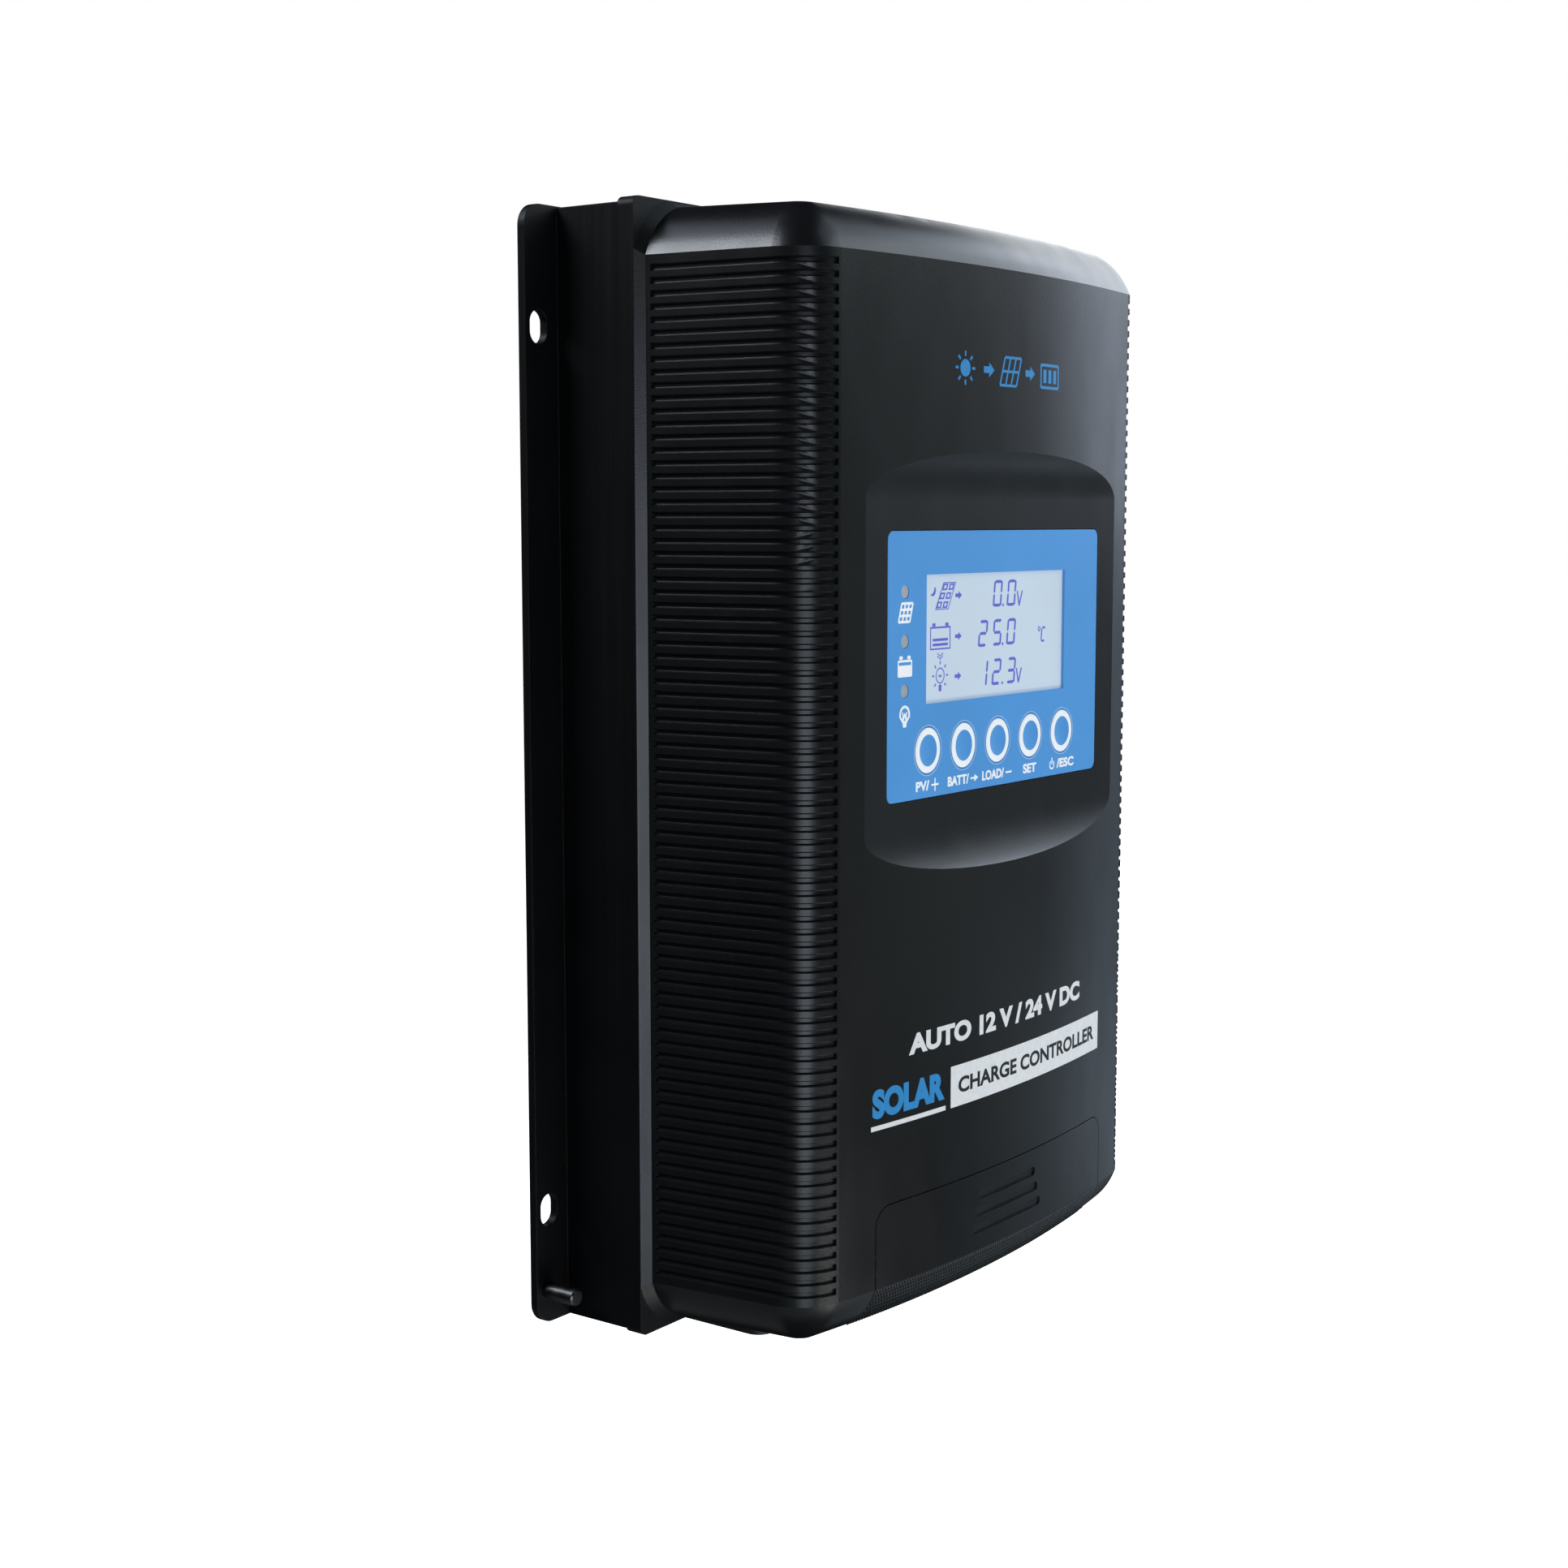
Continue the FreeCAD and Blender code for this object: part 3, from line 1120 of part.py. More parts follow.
def check_and_export(pieces):
    """Refuse a failed feature or a bad solid, then write one STEP file for each piece."""
    doc.recompute()
    failed = [item.Name for item in doc.Objects
              if "Invalid" in item.State or "Error" in item.State]
    bad = [piece.Label for piece in pieces if piece.Shape.isNull() or not piece.Shape.isValid()]
    if failed or bad:
        raise RuntimeError(f"failed features: {failed}; bad shapes: {bad}")
    os.makedirs("parts", exist_ok=True)
    for piece in pieces:
        piece.Shape.exportStep(os.path.join("parts", piece.Label + ".step"))
        box = piece.Shape.optimalBoundingBox()
        print(f"{piece.Label:28} solids {len(piece.Shape.Solids):2}  volume {piece.Shape.Volume:10.1f}"
              f"  x {box.XMin:7.2f} {box.XMax:7.2f}  y {box.YMin:7.2f} {box.YMax:7.2f}"
              f"  z {box.ZMin:7.2f} {box.ZMax:7.2f}")


fill_sheet()
check_and_export(build_pieces())
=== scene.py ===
import math

import bmesh
import bpy
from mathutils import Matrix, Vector
from mathutils.bvhtree import BVHTree


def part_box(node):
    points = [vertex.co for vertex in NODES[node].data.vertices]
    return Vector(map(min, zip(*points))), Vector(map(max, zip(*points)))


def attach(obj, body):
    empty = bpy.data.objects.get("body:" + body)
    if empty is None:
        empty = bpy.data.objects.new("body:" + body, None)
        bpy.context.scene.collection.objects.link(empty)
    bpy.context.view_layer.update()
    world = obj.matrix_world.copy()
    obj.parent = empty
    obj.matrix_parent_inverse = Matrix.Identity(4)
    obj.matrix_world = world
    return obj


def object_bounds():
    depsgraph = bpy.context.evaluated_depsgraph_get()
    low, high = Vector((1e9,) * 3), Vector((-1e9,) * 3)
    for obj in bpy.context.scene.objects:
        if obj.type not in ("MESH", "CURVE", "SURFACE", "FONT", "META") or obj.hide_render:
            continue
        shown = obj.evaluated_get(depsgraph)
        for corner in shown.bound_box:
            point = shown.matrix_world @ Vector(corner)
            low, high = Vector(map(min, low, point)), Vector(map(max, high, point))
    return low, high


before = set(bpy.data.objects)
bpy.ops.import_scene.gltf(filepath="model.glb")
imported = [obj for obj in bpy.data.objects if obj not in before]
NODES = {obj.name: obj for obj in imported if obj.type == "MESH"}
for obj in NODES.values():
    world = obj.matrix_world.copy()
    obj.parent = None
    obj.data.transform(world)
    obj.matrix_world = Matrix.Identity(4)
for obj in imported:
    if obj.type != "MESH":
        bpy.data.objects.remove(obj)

MM = 0.001
BODY = "controller"
KEY_COUNT = 5
COVER_TRAVEL = 0.045        # metres that the terminal cover slides down

cad_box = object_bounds()


# ---------------------------------------------------------------- material nodes

BLUE = (0.098, 0.4, 0.9)
PRINT_WHITE = (0.9, 0.91, 0.92)
WHITE_GLOW = (1.0, 1.0, 1.0, 1.0)
INK_GLOW = 0.24             # a little emission keeps the white prints white in the soft light
EDGE_ZONE_MM = 0.5          # paler edges, partly wear and partly painted highlight, are about this wide
WEAR_AND_HIGHLIGHT_PALER = 2.6          # and this many times paler than the open plastic


class Finish:
    """A Principled material whose detail comes from textures in the object's own space."""

    def __init__(self, name, **values):
        self.material = bpy.data.materials.new(name)
        self.material.use_nodes = True
        self.nodes = self.material.node_tree.nodes
        self.links = self.material.node_tree.links
        self.shader = self.nodes["Principled BSDF"]
        for socket, value in values.items():
            self.shader.inputs[socket.replace("_", " ")].default_value = value
        self.where = self.nodes.new("ShaderNodeTexCoord").outputs["Object"]
        self.normal = None

    def wire(self, source, target):
        self.links.new(source, target)

    def feed(self, value, socket):
        """Gives a socket a constant or another node's output."""
        if isinstance(value, bpy.types.NodeSocket):
            self.wire(value, socket)
        else:
            socket.default_value = value

    def noise(self, size_mm, detail=3.0, stretch=(1, 1, 1), kind="ShaderNodeTexNoise"):
        """A pattern whose features are about size_mm across, drawn out along an axis."""
        mapping = self.nodes.new("ShaderNodeMapping")
        mapping.inputs["Scale"].default_value = [1 / s for s in stretch]
        self.wire(self.where, mapping.inputs["Vector"])
        texture = self.nodes.new(kind)
        texture.inputs["Scale"].default_value = 1 / (size_mm * MM)
        if "Detail" in texture.inputs:
            texture.inputs["Detail"].default_value = detail
        self.wire(mapping.outputs["Vector"], texture.inputs["Vector"])
        return texture.outputs["Fac" if "Fac" in texture.outputs else "Distance"]

    def span(self, source, low, high, start=0.3, end=0.7):
        """The source's range from start to end, spread over low to high."""
        node = self.nodes.new("ShaderNodeMapRange")
        for socket, value in (("From Min", start), ("From Max", end), ("To Min", low), ("To Max", high)):
            node.inputs[socket].default_value = value
        self.wire(source, node.inputs["Value"])
        return node.outputs["Result"]

    def blend(self, factor, first, second, mode="MIX"):
        """Mixes or multiplies two colours; each is a value or another node's output."""
        node = self.nodes.new("ShaderNodeMix")
        node.data_type = "RGBA"
        node.blend_type = mode
        self.feed(factor, node.inputs["Factor"])
        for colour, socket in zip((first, second), node.inputs[6:8]):
            whole = colour if isinstance(colour, bpy.types.NodeSocket) else (*colour, 1.0)
            self.feed(whole, socket)
        return node.outputs[2]

    def sum_of(self, first, second, operation="ADD"):
        node = self.nodes.new("ShaderNodeMath")
        node.operation = operation
        for value, socket in zip((first, second), node.inputs):
            self.feed(value, socket)
        return node.outputs[0]

    def bump(self, height, depth_mm, strength=1.0):
        """Relief of the given depth, laid over the relief that is there already."""
        node = self.nodes.new("ShaderNodeBump")
        node.inputs["Distance"].default_value = depth_mm * MM
        node.inputs["Strength"].default_value = strength
        self.wire(height, node.inputs["Height"])
        if self.normal is not None:
            self.wire(self.normal, node.inputs["Normal"])
        self.normal = node.outputs["Normal"]

    def soft_edges(self, radius_mm):
        node = self.nodes.new("ShaderNodeBevel")
        node.samples = 4
        node.inputs["Radius"].default_value = radius_mm * MM
        self.normal = node.outputs["Normal"]

    def edge_mask(self, radius_mm, patchiness_mm):
        """0 on open surfaces and up to 1 along edges, in uneven patches."""
        rounded_edge = self.nodes.new("ShaderNodeBevel")
        rounded_edge.samples = 4
        rounded_edge.inputs["Radius"].default_value = radius_mm * MM
        geometry = self.nodes.new("ShaderNodeNewGeometry")
        agreement = self.nodes.new("ShaderNodeVectorMath")
        agreement.operation = "DOT_PRODUCT"
        self.wire(rounded_edge.outputs["Normal"], agreement.inputs[0])
        self.wire(geometry.outputs["Normal"], agreement.inputs[1])
        edge = self.span(agreement.outputs["Value"], 1.0, 0.0, 0.8, 0.985)
        return self.sum_of(edge, self.span(self.noise(patchiness_mm, 3.0), 0.15, 1.0), "MULTIPLY")

    def done(self, colour=None, roughness=None):
        if colour is not None:
            self.wire(colour, self.shader.inputs["Base Color"])
        if roughness is not None:
            self.wire(roughness, self.shader.inputs["Roughness"])
        if self.normal is not None:
            self.wire(self.normal, self.shader.inputs["Normal"])
        return self.material


def shades(colour, dark, light):
    return [c * dark for c in colour], [min(c * light, 1.0) for c in colour]


def moulded(name, colour, rough=(0.4, 0.5), grain_mm=0.55, depth_mm=0.02, wear_and_highlight=0.0, **values):
    """Moulded plastic: fine spark-eroded grain, slow flow tone, faint handling marks, paler edges that are
    partly rubbed wear and partly painted highlight.
    """
    finish = Finish(name, **values)
    grain = finish.noise(grain_mm, 2.0)
    cloud = finish.noise(38, 2.0)
    marks = finish.noise(9, 4.0, stretch=(1, 1, 2.5))
    dark, light = shades(colour, 0.88, 1.12)
    tone = finish.blend(finish.span(cloud, 0.0, 1.0), dark, light)
    fine_dark, fine_light = shades((1.0, 1.0, 1.0), 0.9, 1.0)
    mottle = finish.blend(finish.span(grain, 0.0, 1.0), fine_dark, fine_light)
    finish.bump(grain, depth_mm)
    colour_out, roughness = finish.blend(1.0, tone, mottle, "MULTIPLY"), finish.span(marks, *rough)
    # paler edges: partly rubbed wear, partly a painted highlight along the rib and groove edges
    if wear_and_highlight:
        paler_edge_share = finish.sum_of(finish.edge_mask(EDGE_ZONE_MM, 2.5), wear_and_highlight, "MULTIPLY")
        colour_out = finish.blend(paler_edge_share, colour_out, [min(c * WEAR_AND_HIGHLIGHT_PALER, 1.0) for c in colour])
        roughness = finish.sum_of(roughness, finish.sum_of(paler_edge_share, -0.12, "MULTIPLY"))
    return finish.done(colour_out, roughness)


def anodised(name, colour, rough=(0.38, 0.5)):
    """Black anodised extrusion: fine die lines along its length, faint bloom."""
    finish = Finish(name, Metallic=0.1, Specular_IOR_Level=0.17)
    finish.soft_edges(0.35)
    lines = finish.noise(0.5, 3.0, stretch=(1, 1, 160))
    bloom = finish.noise(26, 3.0)
    pits = finish.noise(0.35, 1.0)
    dark, light = shades(colour, 0.8, 1.25)
    tone = finish.blend(finish.span(bloom, 0.0, 1.0), dark, light)
    worn = finish.edge_mask(0.45, 3.0)
    tone = finish.blend(finish.sum_of(worn, 0.5, "MULTIPLY"), tone, (0.05, 0.051, 0.054))
    finish.bump(lines, 0.012)
    finish.bump(pits, 0.006)
    return finish.done(tone, finish.span(lines, *rough))


def bright_metal(name, colour, rough=(0.18, 0.34), brush=(1, 1, 1), tool_mm=0.18, depth_mm=0.01):
    """Plated or machined metal with tool marks and slight dulling."""
    finish = Finish(name, Metallic=1.0)
    tool = finish.noise(tool_mm, 3.0, stretch=brush)
    dull = finish.noise(2.4, 3.0)
    dark, light = shades(colour, 0.78, 1.08)
    tone = finish.blend(finish.span(dull, 0.0, 1.0), dark, light)
    finish.bump(tool, depth_mm)
    return finish.done(tone, finish.span(dull, *rough))


def film(name, colour, rough=(0.36, 0.44), **values):
    """Printed overlay: even ink under a finely embossed clear film."""
    finish = Finish(name, Coat_Weight=0.25, Coat_Roughness=0.3, **values)
    emboss = finish.noise(0.3, 1.0)
    wave = finish.noise(30, 2.0)
    dark, light = shades(colour, 0.965, 1.035)
    tone = finish.blend(finish.span(wave, 0.0, 1.0), dark, light)
    finish.bump(emboss, 0.004)
    finish.bump(wave, 0.05)
    return finish.done(tone, finish.span(finish.noise(6, 3.0), *rough))


def ink(name, colour, rough=(0.42, 0.52), **values):
    """Screen-printed ink: a dense flat film with a slight tooth."""
    finish = Finish(name, **values)
    tooth = finish.noise(0.25, 2.0)
    cover = finish.noise(1.6, 3.0)
    dark, light = shades(colour, 0.93, 1.02)
    tone = finish.blend(finish.span(cover, 0.0, 1.0), dark, light)
    finish.bump(tooth, 0.004)
    return finish.done(tone, finish.span(tooth, *rough))


def key_print():
    """Blue key cap with a white printed ring; the rings repeat at the keys' pitch."""
    low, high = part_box("button_panel")
    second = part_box("button_battery")[0]
    pitch = second.x - low.x
    centre = (low + high) / 2
    finish = Finish("key_cap", Coat_Weight=0.2, Coat_Roughness=0.25)
    parts = finish.nodes.new("ShaderNodeSeparateXYZ")
    finish.wire(finish.where, parts.inputs[0])
    shifted = finish.sum_of(parts.outputs["X"], pitch / 2 - centre.x)
    cell = finish.sum_of(shifted, pitch, "FLOORED_MODULO")
    across = finish.sum_of(cell, -pitch / 2)
    up = finish.sum_of(parts.outputs["Z"], -centre.z)
    radius = finish.sum_of(finish.sum_of(finish.sum_of(across, across, "MULTIPLY"),
                                         finish.sum_of(up, up, "MULTIPLY")), 0.5, "POWER")
    inner, outer, blur = 3.6 * MM, 5.1 * MM, 0.06 * MM
    inside = finish.span(radius, 0.0, 1.0, inner, inner + blur)
    outside = finish.span(radius, 1.0, 0.0, outer, outer + blur)
    ring = finish.sum_of(inside, outside, "MULTIPLY")
    tooth = finish.noise(0.3, 1.0)
    tone = finish.blend(ring, BLUE, PRINT_WHITE)
    finish.bump(tooth, 0.004)
    # the white ring glows faintly: painted light that keeps it white in the soft light
    finish.shader.inputs["Emission Color"].default_value = WHITE_GLOW
    finish.wire(finish.sum_of(ring, INK_GLOW, "MULTIPLY"), finish.shader.inputs["Emission Strength"])
    return finish.done(tone, finish.span(finish.noise(3, 3.0), 0.34, 0.46))


def board_green():
    """Solder mask over copper tracks: faint tracks show as relief and tone."""
    finish = Finish("solder_mask", Coat_Weight=0.4, Coat_Roughness=0.2)
    tracks = finish.noise(3.2, 0.0, kind="ShaderNodeTexVoronoi")
    weave = finish.noise(0.6, 2.0)
    tone = finish.blend(finish.span(tracks, 0.0, 1.0, 0.1, 0.5), (0.02, 0.14, 0.06), (0.012, 0.09, 0.042))
    finish.bump(tracks, 0.03)
    finish.bump(weave, 0.008)
    return finish.done(tone, finish.span(weave, 0.3, 0.42))


# the housing's paler edges stand partly for wear and partly for painted highlights on its grooves
HOUSING = moulded("housing_plastic", (0.0075, 0.0082, 0.0092), rough=(0.28, 0.34), wear_and_highlight=0.8)
FINISHES = {
    "cover_plastic": HOUSING,
    "black_aluminium": anodised("black_anodised", (0.0045, 0.0048, 0.0055)),
    "black_plastic": moulded("inlet_plastic", (0.02, 0.02, 0.022), rough=(0.45, 0.58)),
    "label_film": film("blue_overlay", BLUE),
    # the display glows faintly and evenly: painted light that brightens it
    "display_glass": film("display_reflector_glow", (0.56, 0.67, 0.81), rough=(0.3, 0.36),
                          Emission_Color=(0.9, 1.0, 0.98, 1.0), Emission_Strength=0.2),
    "light_guide": moulded("milky_acrylic", (0.8, 0.82, 0.84), rough=(0.25, 0.35)),
    "frame_plastic": moulded("white_frame", (0.75, 0.75, 0.72)),
    "circuit_board": board_green(),
    "key_plastic": key_print(),
    "lamp_plastic": moulded("lamp_epoxy", (0.56, 0.575, 0.6), rough=(0.22, 0.34), grain_mm=0.4,
                            depth_mm=0.01, Subsurface_Weight=0.15),
    "bright_steel": bright_metal("zinc_steel", (0.66, 0.66, 0.65)),
    "dark_steel": bright_metal("blackened_steel", (0.13, 0.13, 0.135), rough=(0.3, 0.4), brush=(1, 3, 1),
                               tool_mm=0.5, depth_mm=0.004),
    "brass": bright_metal("machined_brass", (0.72, 0.52, 0.22), rough=(0.24, 0.38)),
    "copper": bright_metal("enamelled_copper", (0.6, 0.25, 0.11), rough=(0.26, 0.4), brush=(1, 1, 6)),
    "ferrite": moulded("powder_core", (0.05, 0.13, 0.1), rough=(0.5, 0.65), grain_mm=0.3, depth_mm=0.03),
    "capacitor_can": moulded("shrink_sleeve", (0.03, 0.035, 0.1), rough=(0.28, 0.4)),
    "epoxy": moulded("moulded_epoxy", (0.016, 0.016, 0.018), rough=(0.5, 0.65), grain_mm=0.3),
    "silicone": moulded("silicone_pad", (0.4, 0.43, 0.46), rough=(0.6, 0.75), grain_mm=0.8, depth_mm=0.04),
    "ribbon": moulded("ribbon_insulation", (0.42, 0.42, 0.4), rough=(0.35, 0.45)),
    "socket_plastic": moulded("nylon_socket", (0.028, 0.028, 0.03), rough=(0.4, 0.55)),
    "yellow_film": moulded("film_capacitor", (0.55, 0.3, 0.03), rough=(0.25, 0.38)),
}
for node in NODES.values():
    for place in node.material_slots:
        place.material = FINISHES[place.material.name.split(".")[0]]

# the white and pale inks glow faintly: painted light that keeps the prints white
WHITE_INK = ink("white_ink", PRINT_WHITE, Emission_Color=WHITE_GLOW, Emission_Strength=INK_GLOW)
PALE_INK = ink("pale_ink", (0.88, 0.89, 0.9), Emission_Color=WHITE_GLOW, Emission_Strength=INK_GLOW / 4)
OUTLINE_INK = ink("outline_ink", (0.6, 0.76, 0.95))
BLUE_INK = ink("blue_ink", (0.03, 0.31, 0.72))
DARK_INK = ink("dark_ink", (0.012, 0.014, 0.018))
LCD_INK = ink("display_segment", (0.18, 0.18, 0.82))


# ---------------------------------------------------------------- printed shapes

def surface_tree(*nodes):
    """The outer surface of some CAD nodes, to lay a print on."""
    points, faces = [], []
    for name in nodes:
        mesh = NODES[name].data
        start = len(points)
        points += [v.co.copy() for v in mesh.vertices]
        faces += [[start + i for i in polygon.vertices] for polygon in mesh.polygons]
    return BVHTree.FromPolygons(points, faces)


class Print:
    """Flat shapes drawn in millimetres as seen from the front, then laid on a surface."""

    def __init__(self):
        self.mesh = bmesh.new()

    def area(self, outline):
        corners = [self.mesh.verts.new((x * MM, 0, z * MM)) for x, z in outline]
        self.mesh.faces.new(corners)

    def grid(self, corners, steps):
        """A four-sided area in strips, so that it can follow a curved face."""
        (ax, az), (bx, bz), (cx, cz), (dx, dz) = corners
        rows = []
        for i in range(steps + 1):
            t = i / steps
            low = self.mesh.verts.new(((ax + (bx - ax) * t) * MM, 0, (az + (bz - az) * t) * MM))
            high = self.mesh.verts.new(((dx + (cx - dx) * t) * MM, 0, (dz + (cz - dz) * t) * MM))
            rows.append((low, high))
        for (low, high), (next_low, next_high) in zip(rows, rows[1:]):
            self.mesh.faces.new((low, next_low, next_high, high))

    def bar(self, start, end, width):
        along = (Vector(end) - Vector(start)).normalized() * width / 2
        side = Vector((-along.y, along.x))
        a, b = Vector(start), Vector(end)
        self.area([a - side, b - side, b + side, a + side])

    def disc(self, centre, radius, count=40):
        self.area(circle(centre, radius, count))

    def ring(self, centre, inner, outer, count=64):
        self.band(circle(centre, inner, count), circle(centre, outer, count))

    def band(self, inside, outside):
        """The area between two closed outlines with the same number of points."""
        first = [self.mesh.verts.new((x * MM, 0, z * MM)) for x, z in inside]
        second = [self.mesh.verts.new((x * MM, 0, z * MM)) for x, z in outside]
        for i in range(len(first)):
            j = (i + 1) % len(first)
            self.mesh.faces.new((first[i], first[j], second[j], second[i]))

    def words(self, text, left, base, height, width, heavy=0.0):
        """Lettering from its lower left corner, with a cap height and a whole width."""
        data = bpy.data.curves.new("lettering", "FONT")
        data.body = text
        data.offset = heavy
        data.resolution_u = 6
        letters = bpy.data.objects.new("lettering", data)
        bpy.context.scene.collection.objects.link(letters)
        bpy.context.view_layer.update()
        made = bpy.data.meshes.new_from_object(
            letters.evaluated_get(bpy.context.evaluated_depsgraph_get()))
        bpy.data.objects.remove(letters)
        points = [v.co for v in made.vertices]
        low_x, high_x = min(p.x for p in points), max(p.x for p in points)
        cap = CAP_HEIGHT + 2 * heavy
        scale_x, scale_z = width / (high_x - low_x), height / cap
        corners = [self.mesh.verts.new(((left + (p.x - low_x) * scale_x) * MM, 0,
                                        (base + (p.y + heavy) * scale_z) * MM)) for p in points]
        for polygon in made.polygons:
            self.mesh.faces.new([corners[i] for i in polygon.vertices])
        bpy.data.meshes.remove(made)

    def lay(self, name, tree, material, body, lift=0.035, sink=0.03):
        """Turns the shapes into a thin closed layer on the surface and names it."""
        bmesh.ops.remove_doubles(self.mesh, verts=self.mesh.verts, dist=1e-7)
        bmesh.ops.recalc_face_normals(self.mesh, faces=self.mesh.faces)
        for face in self.mesh.faces:
            if face.normal.y > 0:
                face.normal_flip()
        grown = bmesh.ops.extrude_face_region(self.mesh, geom=self.mesh.faces[:])
        top = {v for v in grown["geom"] if isinstance(v, bmesh.types.BMVert)}
        for vertex in self.mesh.verts:
            hit = tree.ray_cast(Vector((vertex.co.x, -0.2, vertex.co.z)), Vector((0, 1, 0)))[0]
            depth = hit.y if hit is not None else tree.find_nearest(vertex.co)[0].y
            vertex.co.y = depth - lift * MM if vertex in top else depth + sink * MM
        bmesh.ops.recalc_face_normals(self.mesh, faces=self.mesh.faces)
        mesh = bpy.data.meshes.new(name)
        self.mesh.to_mesh(mesh)
        self.mesh.free()
        piece = bpy.data.objects.new(name, mesh)
        bpy.context.scene.collection.objects.link(piece)
        mesh.materials.append(material)
        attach(piece, body)
        return piece


def circle(centre, radius, count=40, start=0.0, sweep=360.0):
    whole = sweep >= 360.0
    steps = count if whole else count - 1
    return [(centre[0] + radius * math.cos(math.radians(start + sweep * i / steps)),
             centre[1] + radius * math.sin(math.radians(start + sweep * i / steps)))
            for i in range(count)]


def rounded(low, high, radius, count=6):
    """The outline of a rounded rectangle."""
    outline = []
    for x, z, start in ((high[0] - radius, high[1] - radius, 0), (low[0] + radius, high[1] - radius, 90),
                        (low[0] + radius, low[1] + radius, 180), (high[0] - radius, low[1] + radius, 270)):
        outline += circle((x, z), radius, count, start, 90.0)
    return outline


def measured_cap_height():
    """Height of a capital in the built-in lettering, for a text size of 1."""
    data = bpy.data.curves.new("cap", "FONT")
    data.body = "H"
    sample = bpy.data.objects.new("cap", data)
    bpy.context.scene.collection.objects.link(sample)
    bpy.context.view_layer.update()
    made = bpy.data.meshes.new_from_object(
        sample.evaluated_get(bpy.context.evaluated_depsgraph_get()))
    height = max(v.co.y for v in made.vertices)
    bpy.data.objects.remove(sample)
    bpy.data.meshes.remove(made)
    return height


CAP_HEIGHT = measured_cap_height()
COVER = surface_tree("front_cover")
LABEL = surface_tree("keypad_label")
GLASS = surface_tree("lcd_glass")


# ---------------------------------------------------------------- prints on the housing

def sun(drawing, centre, radius, rays=8, inner=1.35, outer=1.95, width=0.3):
    """A disc with short rays; the ray sizes are shares of the disc's radius."""
    drawing.disc(centre, radius)
    for i in range(rays):
        turn = 2 * math.pi * i / rays
        way = Vector((math.cos(turn), math.sin(turn)))
        drawing.bar(Vector(centre) + way * radius * inner, Vector(centre) + way * radius * outer,
                    radius * width)


def arrow(drawing, left, z, length, height):
    """A short thick arrow that points right."""
    neck, half, stem = left + length * 0.5, height / 2, height * 0.22
    drawing.area([(left, z - stem), (neck, z - stem), (neck, z - half), (left + length, z),
                  (neck, z + half), (neck, z + stem), (left, z + stem)])


def panel_frame(drawing, left, base, width, height, lean, columns, rows, line):
    """A slanted grid of cells, drawn as bars."""
    def at(u, v):
        return (left + width * u + lean * v, base + height * v)
    for i in range(columns + 1):
        drawing.bar(at(i / columns, 0), at(i / columns, 1), line)
    for j in range(rows + 1):
        drawing.bar(at(0, j / rows), at(1, j / rows), line)


def box_area(drawing, low, high):
    """A plain upright rectangle between two corners."""
    drawing.area([low, (high[0], low[1]), high, (low[0], high[1])])


def energy_flow_mark():
    """Sun, panel and battery in a row, with arrows between them."""
    middle, foot, arrow_size = 91.7, 88.5, (4.4, 3.4)
    mark = Print()
    sun(mark, (-21.9, middle), 1.95)
    arrow(mark, -14.6, middle, *arrow_size)
    panel_frame(mark, -7.8, foot, 7.2, 6.4, 2.2, 3, 2, 0.6)
    arrow(mark, 3.6, middle, *arrow_size)
    mark.band(rounded((11.35, 89.15), (19.45, 93.75), 0.3), rounded((10.7, foot), (20.1, 94.4), 0.7))
    for left in (12.2, 14.7, 17.2):
        box_area(mark, (left, 89.9), (left + 1.5, 93.0))
    mark.lay("energy_flow_mark", COVER, BLUE_INK, BODY)


def front_lettering():
    """Generic rating line and banner under the recess."""
    rating = Print()
    rating.words("AUTO 12 V / 24 V DC", -40.85, -62.7, 4.75, 78.0, heavy=0.05)
    rating.lay("rating_line", COVER, PALE_INK, BODY)

    left, middle_left, middle, right = -53.6, -27.2, -25.2, 49.8
    foot, rule_top, top = -78.0, -76.9, -68.2
    banner = Print()
    banner.grid([(middle, foot), (right, foot), (right, top), (middle, top)], 24)
    banner.lay("banner", COVER, PALE_INK, BODY)
    banner_words = Print()
    banner_words.words("CHARGE CONTROLLER", -22.2, -75.0, 3.7, 69.0, heavy=0.03)
    banner_words.lay("banner_words", COVER, DARK_INK, BODY, lift=0.06, sink=-0.02)
    banner_rule = Print()
    banner_rule.grid([(left, foot), (middle_left, foot), (middle_left, rule_top), (left, rule_top)], 8)
    banner_rule.lay("banner_rule", COVER, PALE_INK, BODY)
    banner_title = Print()
    banner_title.words("SOLAR", -53.2, -75.3, 6.6, 25.6, heavy=0.06)
    banner_title.lay("banner_title", COVER, BLUE_INK, BODY)


energy_flow_mark()
front_lettering()


# ---------------------------------------------------------------- prints on the keypad label

def bulb(drawing, centre, radius, base, line):
    """A lamp outline: a round top that narrows to a solid cap, with a bent filament."""
    x, z = centre
    start, sweep = -14.0, 208.0
    outer = circle(centre, radius, 26, start, sweep)
    inner = circle(centre, radius - line, 26, start, sweep)
    cap = radius * 0.36
    outer += [(x - cap, base + 0.9), (x - cap * 0.8, base), (x + cap * 0.8, base), (x + cap, base + 0.9)]
    inner += [(x - 0.24, base + 1.5), (x - 0.1, base + 1.4), (x + 0.1, base + 1.4), (x + 0.24, base + 1.5)]
    drawing.band(inner, outer)
    zigzag = [(-0.85, 0.65), (-0.45, -1.0), (0.0, 0.35), (0.45, -1.0), (0.85, 0.65)]
    for (ax, az), (bx, bz) in zip(zigzag, zigzag[1:]):
        drawing.bar((x + ax, z + az), (x + bx, z + bz), 0.36)


